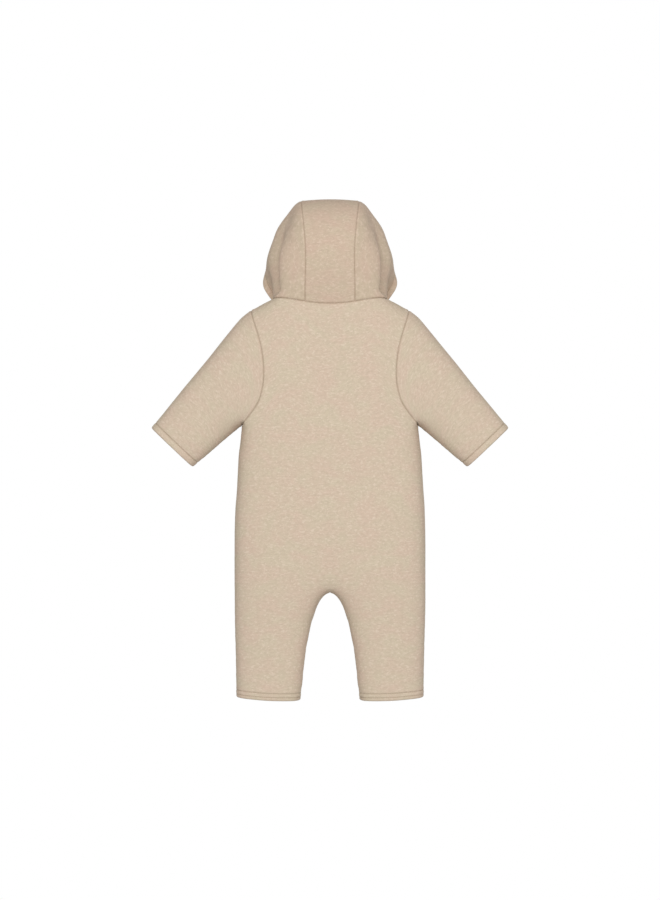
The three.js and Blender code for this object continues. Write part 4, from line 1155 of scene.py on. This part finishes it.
hood_parts = []
for who, s in (("left", 1), ("right", -1)):
    P = base_side * np.array([s, 1, 1])
    N = N_side * np.array([s, 1, 1])
    lines = [seam_crown * np.array([s, 1, 1]), ring_whole * np.array([s, 1, 1])]
    # painted shade along the hood side's seams as well as their real dip
    Q, painted_shade = seam_form(P, N, lines, deep=0.85, wide=0.95, pucker=0.16)
    fade = np.clip(near(P, lines)[0] / 12, 0, 1) * np.clip((1 - AL) / 0.08, 0, 1)[:, None]
    Q = Q + N * (0.7 * ripple(P) * fade)[..., None]
    I = Q - N * CLOTH
    ob = shell(f"hood_{who}_cloth", Q, I, arc_uv(P), (M_HOOD_SHADED, M_IN), painted_shade=np.clip(painted_shade, 0, 1))
    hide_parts(f"hood_{who}_panel")
    bend(ob, [0, 0.30, 0.95])
    hood_parts.append(ob)

TS = 2 * gap_spread(36, 0.012) - 1
AC = AL
S3 = at(PROFILE, AC)
pn = profile_normal(AC)
P = np.zeros((len(AC), len(TS), 3))
P[..., 0] = S3[:, None, 0] * TS[None, :]
bulge = 2.6 * (1 - TS[None, :] ** 2) * np.minimum(1, AC / 0.15)[:, None]
P[..., 1] = S3[:, None, 1] + pn[:, None, 1] * bulge
P[..., 2] = S3[:, None, 2] + pn[:, None, 2] * bulge
q = np.clip(1 - AC / 0.2, 0, 1)
c = q * q * (3 - 2 * q)
ringc = back_at(np.abs(P[..., 0]))
P[..., 1] += c[:, None] * (ringc[..., 1] - A_PT[1])
P[..., 2] += c[:, None] * (ringc[..., 2] - A_PT[2])
edge = np.abs(TS)[None, :, None] ** 2
sgn = np.sign(TS)[None, :, None]
N = np.concatenate([sgn * SN[:, None, :1] * edge, pn[:, None, 1:] * (1 - edge) + SN[:, None, 1:] * edge], -1)
N[..., 2] *= 1 - flatten
N = unit(N)
lines = [seam_crown, seam_crown * np.array([-1, 1, 1]), ring_b, ring_b * np.array([-1, 1, 1])]
# painted shade along the hood centre's seams as well as their real dip
Q, painted_shade = seam_form(P, N, lines, deep=0.85, wide=0.95, pucker=0.16)
fade = np.clip(near(P, lines)[0] / 12, 0, 1) * np.clip((1 - AC) / 0.08, 0, 1)[:, None]
Q = Q + N * (0.6 * ripple(P) * fade)[..., None]
hood_mid = shell("hood_center_cloth", Q, Q - N * CLOTH, arc_uv(P), (M_HOOD_SHADED, M_IN), painted_shade=np.clip(painted_shade, 0, 1))
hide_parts("hood_center_panel")
bend(hood_mid, [0, 0.30, 0.95])

# hem round the face opening
rr = np.linspace(0.03, 1, 150)
e = 0.01
rc = np.clip(rr, 0.12, 0.985)
edge_p = fold_in(hood_side(np.ones_like(rr), rr))
ta = hood_side(np.ones_like(rc), rc) - hood_side(np.full_like(rc, 0.97), rc)
tf = unit(at(FACE, rc + e) - at(FACE, rc - e))
T = unit(ta - tf * (ta * tf).sum(-1, keepdims=True))
fz = at(FACE, rr)[:, 2]
flare_k = (ramp((fz - 548) / 16) * ramp((604 - fz) / 18))[:, None]
T = unit(T * (1 - flare_k) + np.array([0.8, -0.25, -0.55]) * flare_k)
NH = np.stack([np.interp(np.minimum(rr, 0.985), RH, N_side[-2, :, k]) for k in range(3)], -1)
NH[-1] = SN[-1]
NH = unit(NH)
tm = np.linspace(1, -1, 37)[1:-1]
endp, pnn = PROFILE[-1], PN[-1]
fwd = at(PROFILE, np.array([1.0]))[0] - at(PROFILE, np.array([0.96]))[0]
fwd[0] = 0
fwd /= np.linalg.norm(fwd)
mid_p = np.stack([endp[0] * tm, np.full(len(tm), endp[1]), np.full(len(tm), endp[2])], -1) + pnn * (2.6 * (1 - tm**2))[:, None]
flipx = np.array([-1, 1, 1])
line_p = np.concatenate([edge_p, mid_p, edge_p[::-1] * flipx])
line_T = np.concatenate([T, np.repeat(fwd[None], len(tm), 0), T[::-1] * flipx])
line_N = np.concatenate([NH, np.repeat(pnn[None], len(tm), 0), NH[::-1] * flipx])
line_T, line_N = unit(soften(line_T, 5)), unit(soften(line_N, 4))
line_N = unit(line_N - line_T * (line_N * line_T).sum(-1, keepdims=True))
prof = hem_profile(HOOD_HEM, (1.5,))
S = np.array([p_[0] for p_ in prof])
depth = np.array([p_[1] for p_ in prof])
gr = np.array([p_[2] for p_ in prof])
arc = lengths(line_p)
scallop = 0.14 * np.sin(2 * math.pi * arc / 3.2)[:, None] * np.exp(-(((S - 1.5) / 3) ** 2))[None, :] * (depth < 0.01)[None, :]
soft = (0.45 * np.sin(arc / 13.0) + 0.3 * np.sin(arc / 6.1 + 1))[:, None] * (np.clip(S / HOOD_HEM, 0, 1) ** 1.5)[None, :]
off = -depth[None, :] - gr[None, :] + scallop + soft * 0.6
S_sewn = S - 0.35 * np.exp(-((S / 1.2) ** 2))  # the fold is sewn onto the panel's edge, with no slit between them
HQ = line_p[:, None] + line_T[:, None] * S_sewn[None, :, None] + line_N[:, None] * off[..., None]
# painted shade along the stitch row and along the fold's sewn edge
hood_hem_painted_shade = np.repeat((0.5 * np.exp(-(((S - 1.5) / 0.9) ** 2)) * (depth < 0.01))[None], len(line_p), 0)
hood_hem_painted_shade = np.maximum(hood_hem_painted_shade, np.repeat((0.55 * np.exp(-((S / 0.6) ** 2)) * (depth < 0.01))[None], len(line_p), 0))
hood_hem = loft("hood_hem_fold", HQ, wrap_uv(HQ), (M_HOOD_SHADED,), wrap_j=True, cap_j=False, painted_shade=hood_hem_painted_shade)


def cap_ends(ob, m, n):
    """Closes the two end cross-sections of a strip whose rows are closed loops of n points."""
    bm = bmesh.new()
    bm.from_mesh(ob.data)
    bm.verts.ensure_lookup_table()
    uvl = bm.loops.layers.uv.active
    made = []
    for base_i in (0, (m - 1) * n):
        for t in range(n // 2 - 1):
            ids = [t, t + 1, n - 2 - t, n - 1 - t]
            if len(set(ids)) < 4:
                continue
            f = bm.faces.new([bm.verts[base_i + i] for i in ids])
            f.smooth = True
            for l in f.loops:
                l[uvl].uv = (0.001 * (l.vert.index % 7), 0.001 * (l.vert.index % 3))
            made.append(f)
    bmesh.ops.recalc_face_normals(bm, faces=bm.faces)
    bm.to_mesh(ob.data)
    bm.free()
    ob.data.update()


cap_ends(hood_hem, len(line_p), len(S))
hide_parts("hood_hem")
bend(hood_hem, [0, 0.30, 0.95])
k = int(np.argmin(np.abs(S - 1.5) + 100 * (depth > 0.01)))
hood_st = stitches("hood_hem_stitching", [(HQ[:, k], line_N)])
bend(hood_st, [0, 0.30, 0.95])


# ------------------------------------------------------------------ small parts
def finish_mesh(name, bm, mats, smooth_it=True, crease=35):
    me = bpy.data.meshes.new(name)
    bmesh.ops.recalc_face_normals(bm, faces=bm.faces)
    bm.to_mesh(me)
    bm.free()
    uv = me.uv_layers.new(name="UVMap")
    co = np.empty(len(me.vertices) * 3)
    me.vertices.foreach_get("co", co)
    co = co.reshape(-1, 3)
    loops = np.empty(len(me.loops), int)
    me.loops.foreach_get("vertex_index", loops)
    uv.data.foreach_set("uv", np.stack([co[loops, 0] + co[loops, 1] * 0.5, co[loops, 2] + co[loops, 1] * 0.5], -1).astype(np.float32).ravel())
    for m_ in mats:
        me.materials.append(m_)
    me.polygons.foreach_set("use_smooth", np.full(len(me.polygons), smooth_it))
    if crease:
        me.set_sharp_from_angle(angle=math.radians(crease))
    me.update()
    ob = bpy.data.objects.new(name, me)
    scene.collection.objects.link(ob)
    return ob


def prism(bm, outline, y0, y1, bevel=0.25, seg=2):
    """An x-z outline (pattern mm) between two levels of y, with rounded edges."""
    n = len(outline)
    vs_ = [bm.verts.new(to_row([x, y, z])) for y in (y0, y1) for x, z in outline]
    fs = [bm.faces.new(vs_[:n]), bm.faces.new(vs_[n:][::-1])]
    for i in range(n):
        fs.append(bm.faces.new([vs_[i], vs_[(i + 1) % n], vs_[n + (i + 1) % n], vs_[n + i]]))
    bmesh.ops.recalc_face_normals(bm, faces=fs)
    if bevel:
        ed = {e_ for f in fs[:2] for e_ in f.edges}
        bmesh.ops.bevel(bm, geom=list(ed), offset=bevel / 1000, segments=seg, affect="EDGES", profile=0.5)


def rounded(x0, x1, z0, z1, r, n=5):
    pts = []
    for cx, cz, a0 in ((x1 - r, z1 - r, 0), (x0 + r, z1 - r, 90), (x0 + r, z0 + r, 180), (x1 - r, z0 + r, 270)):
        for i in range(n + 1):
            a = math.radians(a0 + 90 * i / n)
            pts.append((cx + r * math.cos(a), cz + r * math.sin(a)))
    return pts


def strip(name, xs_, zs, y_of, thick, mats, body, node_name, painted_shade=None):
    """A thin sheet over an x-z grid; y_of gives its outer level. Thick is along +y or -y."""
    X, Z = np.meshgrid(xs_, zs)
    Y = y_of(X, Z)
    O = np.stack([X, Y, Z], -1)
    I = O.copy()
    I[..., 1] += thick
    ob = shell(name, O, I, np.stack([X, Z], -1) / 1000, mats, inner_mat=0)
    if node_name:
        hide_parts(node_name)
    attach(ob, body)
    return ob


# zip tapes, coils, stops
PANEL_IN = -(FRONT_FLAT - CLOTH)
tape_y = PANEL_IN + 0.4
zs = np.linspace(206, 526.5, 160)
for who, s in (("left", 1), ("right", -1)):
    xt = np.linspace(0.9, 17, 18) * s
    strip(f"zip_tape_{who}_weave", xt, zs, lambda X, Z: np.full(X.shape, tape_y) + 0.06 * np.sin(Z / 7.0) * np.clip((np.abs(X) - 8) / 8, 0, 1), 0.8, (M_ZIPTAPE,), "torso", f"zip_tape_{who}")
    # coil: a flattened helix whose rounded ends meet at the centre
    pitch, turns = 1.6, int((519.6 - 218.6) / 1.6)
    seg, sides = 14, 6
    ph = np.linspace(0, turns * 2 * math.pi, turns * seg + 1)
    z_ = 218.6 + pitch * ph / (2 * math.pi) + (0.0 if s > 0 else pitch / 2)
    cx = np.sign(np.cos(ph)) * np.abs(np.cos(ph)) ** 0.75
    sy = np.sign(np.sin(ph)) * np.abs(np.sin(ph)) ** 0.85
    line = np.stack([s * (1.45 - 1.65 * cx), -33.5 + 0.62 * sy, z_], -1)
    tan = unit(np.gradient(line, axis=0))
    zc = np.array([0, 0, 1.0])
    b1 = unit(np.cross(tan, zc))
    b2 = np.cross(b1, tan)
    an = np.linspace(0, 2 * math.pi, sides, endpoint=False)
    rad = 0.36
    grid = line[:, None] + rad * (b1[:, None] * np.cos(an)[None, :, None] + b2[:, None] * np.sin(an)[None, :, None])
    coil = loft(f"zip_coil_{who}_teeth", grid, wrap_uv(grid), (M_COIL,), wrap_j=True, crease=0)
    cap_ends(coil, grid.shape[0], grid.shape[1])
    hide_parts(f"zip_coil_{who}")
    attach(coil, "torso")
    bm = bmesh.new()
    x0, x1 = sorted((0.7 * s, 3.3 * s))
    prism(bm, rounded(x0, x1, ZIP_TOP - 2.8, ZIP_TOP, 0.5), -34.5, -32.6, 0.35)
    st_ob = finish_mesh(f"zip_top_stop_{who}_clip", bm, (M_METAL,))
    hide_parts(f"zip_top_stop_{who}")
    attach(st_ob, "torso")
bm = bmesh.new()
prism(bm, rounded(-3.6, 3.6, ZIP_LOW, ZIP_LOW + 4, 0.8), -34.5, -32.6, 0.45)
ob = finish_mesh("zip_bottom_stop_clip", bm, (M_METAL,))
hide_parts("zip_bottom_stop")
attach(ob, "torso")
guard = strip("zip_guard_cloth", np.linspace(-15, 15, 26), zs, lambda X, Z: -29.2 + 0.35 * (np.abs(X) / 15) ** 6 + 0.1 * np.sin(Z / 9.0), 1.4, (M_IN,), "torso", "zip_guard")

# slider
z0 = SLIDER_Z
bm = bmesh.new()
shape = []
for a in np.linspace(0, 2 * math.pi, 40, endpoint=False):
    ca, sa = math.cos(a), math.sin(a)
    zz = 6.8 * math.copysign(abs(sa) ** 0.8, sa)
    half = 4.3 + 0.9 * math.exp(-(((zz - 3.2) / 3.2) ** 2))
    shape.append((half * math.copysign(abs(ca) ** 0.55, ca), z0 + zz))
prism(bm, shape, -36.2, -35.0, 0.4, 3)
prism(bm, shape, -31.0, -29.9, 0.35, 2)
prism(bm, rounded(-0.3, 0.3, z0 - 1, z0 + 6, 0.2, 3), -35.3, -30.6, 0.1, 1)
for sx in (1, -1):
    x0, x1 = sorted((4.1 * sx, 4.9 * sx))
    prism(bm, rounded(x0, x1, z0 - 4.5, z0 + 4.2, 0.35, 3), -35.3, -34.3, 0.2, 2)
    prism(bm, rounded(x0, x1, z0 - 4.5, z0 + 4.2, 0.35, 3), -31.5, -30.6, 0.2, 2)
slider = finish_mesh("zip_slider_body", bm, (M_METAL,))
# arch over the pull's eye
t = np.linspace(0, math.pi, 28)
arch = np.stack([np.zeros(28), -35.3 - 4.4 * np.sin(t) ** 0.55, z0 + 0.3 + 4.3 * np.cos(t)], -1)
tn = unit(np.gradient(arch, axis=0))
b2 = np.array([1.0, 0, 0])
b1 = unit(np.cross(tn, b2))
an = np.linspace(0, 2 * math.pi, 14, endpoint=False)
cxx = np.sign(np.cos(an)) * np.abs(np.cos(an)) ** 0.6
sxx = np.sign(np.sin(an)) * np.abs(np.sin(an)) ** 0.6
grid = arch[:, None] + b1[:, None] * (0.5 * cxx)[None, :, None] + b2[None, None] * (1.05 * sxx)[None, :, None]
arch_ob = loft("zip_slider_arch", grid, wrap_uv(grid), (M_METAL,), wrap_j=True, crease=35)
cap_ends(arch_ob, *grid.shape[:2])
for o in (slider, arch_ob):
    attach(o, "zip_slider")
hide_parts("zip_slider")

# pull: a flat tab with an eye, thicker at its rim
zp = z0 + 0.2
tab = np.array([[-3.0, 1], [-3.4, 0.2], [-3.4, -8], [-3.8, -10], [-4.4, -12.5], [-4.4, -26], [-4.0, -28], [-3.0, -29], [3.0, -29], [4.0, -28], [4.4, -26], [4.4, -12.5], [3.8, -10], [3.4, -8], [3.4, 0.2], [3.0, 1], [-3.0, 1]], float)
eye = np.array([[-1.5, -0.8], [-1.9, -1.2], [-1.9, -6.6], [-1.3, -7.2], [1.3, -7.2], [1.9, -6.6], [1.9, -1.2], [1.5, -0.8], [-1.5, -0.8]], float)
K = 120
angle_of = lambda line, c: np.unwrap(np.arctan2(line[:, 1] - c[1], line[:, 0] - c[0]))
o2 = at(tab, np.linspace(0, 1, K + 1)[:-1])
centre_eye = np.array([0, -4.0])
dirs = np.linspace(0, 2 * math.pi, K, endpoint=False)


def ray(poly, c, a):
    best = None
    d = np.array([math.cos(a), math.sin(a)])
    for i in range(len(poly) - 1):
        p_, q_ = poly[i] - c, poly[i + 1] - c
        ed = q_ - p_
        den = d[0] * ed[1] - d[1] * ed[0]
        if abs(den) < 1e-9:
            continue
        tt = (p_[0] * ed[1] - p_[1] * ed[0]) / den
        uu = (p_[0] * d[1] - p_[1] * d[0]) / den
        if tt > 0 and -1e-9 <= uu <= 1 + 1e-9:
            best = tt if best is None else max(best, tt)
    return c + d * best


a_out = np.arctan2(o2[:, 1] - centre_eye[1], o2[:, 0] - centre_eye[0])
i2 = np.array([ray(eye, centre_eye, a) for a in a_out])
y_f, y_b = -38.3, -36.9
sec = [(0.0, 0.25, 1), (0.03, 0.0, 0), (0.12, 0.0, 0), (0.2, 0.22, 0), (0.75, 0.22, 0), (0.82, 0.0, 0), (0.96, 0.0, 0), (1.0, 0.25, 0)]
rows = []
for f_, dip_, _ in sec:
    xy = o2 * (1 - f_) + i2 * f_
    rows.append(np.stack([xy[:, 0], np.full(K, y_f + dip_), zp + xy[:, 1]], -1))
for f_, dip_, _ in sec[::-1]:
    xy = o2 * (1 - f_) + i2 * f_
    rows.append(np.stack([xy[:, 0], np.full(K, y_b - dip_), zp + xy[:, 1]], -1))
grid = np.stack(rows)
uvp = np.concatenate([grid, grid[:, :1]], 1)[..., [0, 2]] / 1000
uvp = np.concatenate([uvp, uvp[:1]])
pull = loft("zip_pull_tab", grid, uvp, (M_METAL,), wrap_i=True, wrap_j=True, crease=30)
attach(pull, "zip_pull")
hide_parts("zip_pull")

# topstitching beside the zip, through the front edges
for who, s in (("left", 1), ("right", -1)):
    rows_ = []
    for off_x in (ZIP_EDGE + 6.2,):
        zz = np.linspace(216, 525.5, 300)
        rows_.append((np.stack([np.full(300, s * off_x), np.full(300, -FRONT_FLAT + 0.35), zz], -1), np.repeat([[0, -1.0, 0]], 300, 0)))
    stitches(f"zip_topstitch_{who}", rows_, "torso")
    # the row that holds the tape's outer edge, seen inside
    inner_rows = [(np.stack([np.full(300, s * 15.6), np.full(300, tape_y + 0.8), np.linspace(209, 524, 300)], -1), np.repeat([[0, 1.0, 0]], 300, 0))]
    stitches(f"zip_tape_stitch_{who}", inner_rows, "torso", pitch=2.8, length=2.0)

# neck tape, hanger loop, labels
xn = np.linspace(-46, 46, 90)
drops = np.linspace(12, 2.5, 12)
qline = smooth(NECK_BACK, 24)
zline = np.interp(np.abs(xn), qline[:, 0], qline[:, 1])
XZ = np.stack([np.broadcast_to(xn, (12, 90)), zline[None] - drops[:, None]], -1)
Pn, Nn = cloth(XZ, 1)
edge_round = 0.25 * (np.abs(np.linspace(-1, 1, 12)) ** 6)[:, None]
O = Pn - Nn * (CLOTH + 0.7 + edge_round)[..., None]
I = Pn - Nn * (CLOTH + 1.9 - edge_round)[..., None]
ntape = shell("back_neck_tape_weave", O, I, arc_uv(Pn), (M_TAPE,), inner_mat=0)
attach(ntape, "torso")
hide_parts("back_neck_tape")
tape_rows = []
for r_ in (1, 10):
    tape_rows.append((I[r_], -Nn[r_]))
stitches("neck_tape_stitching", tape_rows, "torso", pitch=2.9, length=2.1, radius=0.24)
loop_line = smooth([[-30, 34.1], [-24, 33.6], [-19, 30.6], [-13, 27.6], [0, 26.6], [13, 27.6], [19, 30.6], [24, 33.6], [30, 34.1]], 9)
tl = unit(np.gradient(loop_line, axis=0))
nl = np.stack([-tl[:, 1], tl[:, 0]], -1)
zz = np.linspace(544, 549, 9)
er = 0.2 * (np.abs(np.linspace(-1, 1, 9)) ** 6)
O = np.zeros((9, len(loop_line), 3))
I = O.copy()
for i in range(9):
    O[i, :, :2] = loop_line + nl * (0.6 - er[i])
    I[i, :, :2] = loop_line - nl * (0.6 - er[i])
    O[i, :, 2] = I[i, :, 2] = zz[i]
lp = shell("hanger_loop_tape", O, I, arc_uv(O), (M_TAPE,), inner_mat=0)
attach(lp, "torso")
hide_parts("hanger_loop")
strip("size_label_cloth", np.linspace(-9, 9, 14), np.linspace(510, 539, 22), lambda X, Z: 34.2 + 0.10 * np.sin((539 - Z) / 6.0) * (539 - Z) / 29, 0.5, (M_LABEL,), "torso", "size_label")
Xc, Zc = np.meshgrid(np.linspace(96, 127, 24), np.linspace(258, 286, 22))
Yc = -0.4 + 0.25 * np.sin((Xc - 96) / 7.0)
Oc = np.stack([Xc, Yc, Zc], -1)
Ic = Oc + np.array([0, 0.5, 0])
cl = shell("care_label_cloth", Oc, Ic, np.stack([Xc, Zc], -1) / 1000, (M_LABEL,), inner_mat=0)
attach(cl, "torso")
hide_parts("care_label")

# ------------------------------------------------------------------ stage, light, camera
WORLD_LIGHT = 0.47
world = bpy.data.worlds.new("studio")
scene.world = world
world.use_nodes = True
wt = world.node_tree
bg = wt.nodes["Background"]
bg.inputs["Color"].default_value = (1, 1, 1, 1)
seen = wt.nodes.new("ShaderNodeLightPath")
level = wt.nodes.new("ShaderNodeMapRange")
level.inputs["To Min"].default_value = WORLD_LIGHT
level.inputs["To Max"].default_value = 1.0
wt.links.new(seen.outputs["Is Camera Ray"], level.inputs["Value"])
wt.links.new(level.outputs[0], bg.inputs["Strength"])
scene.view_settings.view_transform = "Standard"
scene.view_settings.look = "None"
scene.view_settings.exposure = 0.0
scene.view_settings.gamma = 1.0


def area(name, loc, aim, size, power, size_y=None):
    l = bpy.data.lights.new(name, "AREA")
    l.shape = "RECTANGLE"
    l.size, l.size_y = size, size_y or size
    l.energy = power
    ob_ = bpy.data.objects.new(name, l)
    ob_.location = loc
    ob_.rotation_euler = (Vector(aim) - Vector(loc)).to_track_quat("-Z", "Y").to_euler()
    scene.collection.objects.link(ob_)
    return ob_


AIM = (0.0, -0.0275, -0.199)
area("key_back", (0.30, 3.3, 0.42), AIM, 1.7, 60.0)
area("key_side", (-1.5, 2.7, 0.0), AIM, 1.3, 13.0)
area("fill_front", (-0.5, -3.2, 0.5), AIM, 3.4, 62.0)

# plain white floor, 1.45 m under the hems, lit as evenly as the white behind the suit
floor_mesh = bpy.data.meshes.new("studio_floor")
floor_mesh.from_pydata([(-4, -4, -2.0), (4, -4, -2.0), (4, 4, -2.0), (-4, 4, -2.0)], [], [(0, 1, 2, 3)])
floor = bpy.data.objects.new("studio_floor", floor_mesh)
scene.collection.objects.link(floor)
white = bpy.data.materials.new("studio_white")
white.use_nodes = True
for n_ in list(white.node_tree.nodes):
    white.node_tree.nodes.remove(n_)
glow = white.node_tree.nodes.new("ShaderNodeEmission")
glow.inputs["Color"].default_value = (1, 1, 1, 1)
glow.inputs["Strength"].default_value = 1.0
out_ = white.node_tree.nodes.new("ShaderNodeOutputMaterial")
white.node_tree.links.new(glow.outputs[0], out_.inputs["Surface"])
floor_mesh.materials.append(white)
floor.visible_diffuse = floor.visible_glossy = floor.visible_transmission = False
floor.visible_volume_scatter = floor.visible_shadow = False
floor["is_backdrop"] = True

cam = bpy.data.cameras.new("camera")
cam.lens, cam.sensor_width, cam.sensor_fit = 100, 36, "VERTICAL"
cam.sensor_height = 36
cam_ob = bpy.data.objects.new("camera", cam)
cam_ob.location = (0.0, -0.0275 + 3.5, -0.199)
cam_ob.rotation_euler = (math.radians(90), 0, math.radians(180))
scene.collection.objects.link(cam_ob)
scene.camera = cam_ob



def sheet(name, *others):
    """Records one panel's measures in FLAT: its cut measured along the finished cloth, without seam allowances."""
    G = GRIDS[name] / 1000
    w = np.linalg.norm(np.diff(G, axis=1), axis=-1).sum(1).max()
    l_ = np.linalg.norm(np.diff(G, axis=0), axis=-1).sum(0).max()
    d1, d2 = G[1:, 1:] - G[:-1, :-1], G[1:, :-1] - G[:-1, 1:]
    A = 0.5 * np.linalg.norm(np.cross(d1, d2), axis=-1).sum()
    A = float(np.clip(A, 0.31 * w * l_, 0.999 * w * l_))
    FLAT[name] = [round(float(w), 4), round(float(l_), 4), round(A, 5)]


FLAT = {}
sheet("back")
for who in ("left", "right"):
    sheet(f"front_{who}", f"zip_topstitch_{who}")
    sheet(f"{who}_sleeve_cloth", f"{who}_cuff", f"{who}_cuff_stitching")
    sheet(f"{who}_leg_back_cloth", f"{who}_leg_turnup", f"{who}_leg_stitching")
    sheet(f"{who}_leg_front_cloth")
    sheet(f"hood_{who}_cloth")
sheet("hood_center_cloth", "hood_hem_fold", "hood_hem_stitching")
print("FLAT", json.dumps(FLAT))

FINAL_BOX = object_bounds()


def plain(v):
    if isinstance(v, dict):
        return {k_: plain(x_) for k_, x_ in v.items()}
    if isinstance(v, (list, tuple)) or hasattr(v, "__len__"):
        return [plain(x_) for x_ in v]
    return float(v)


{"cad": plain(CAD_BOX), "look": plain(FINAL_BOX)}
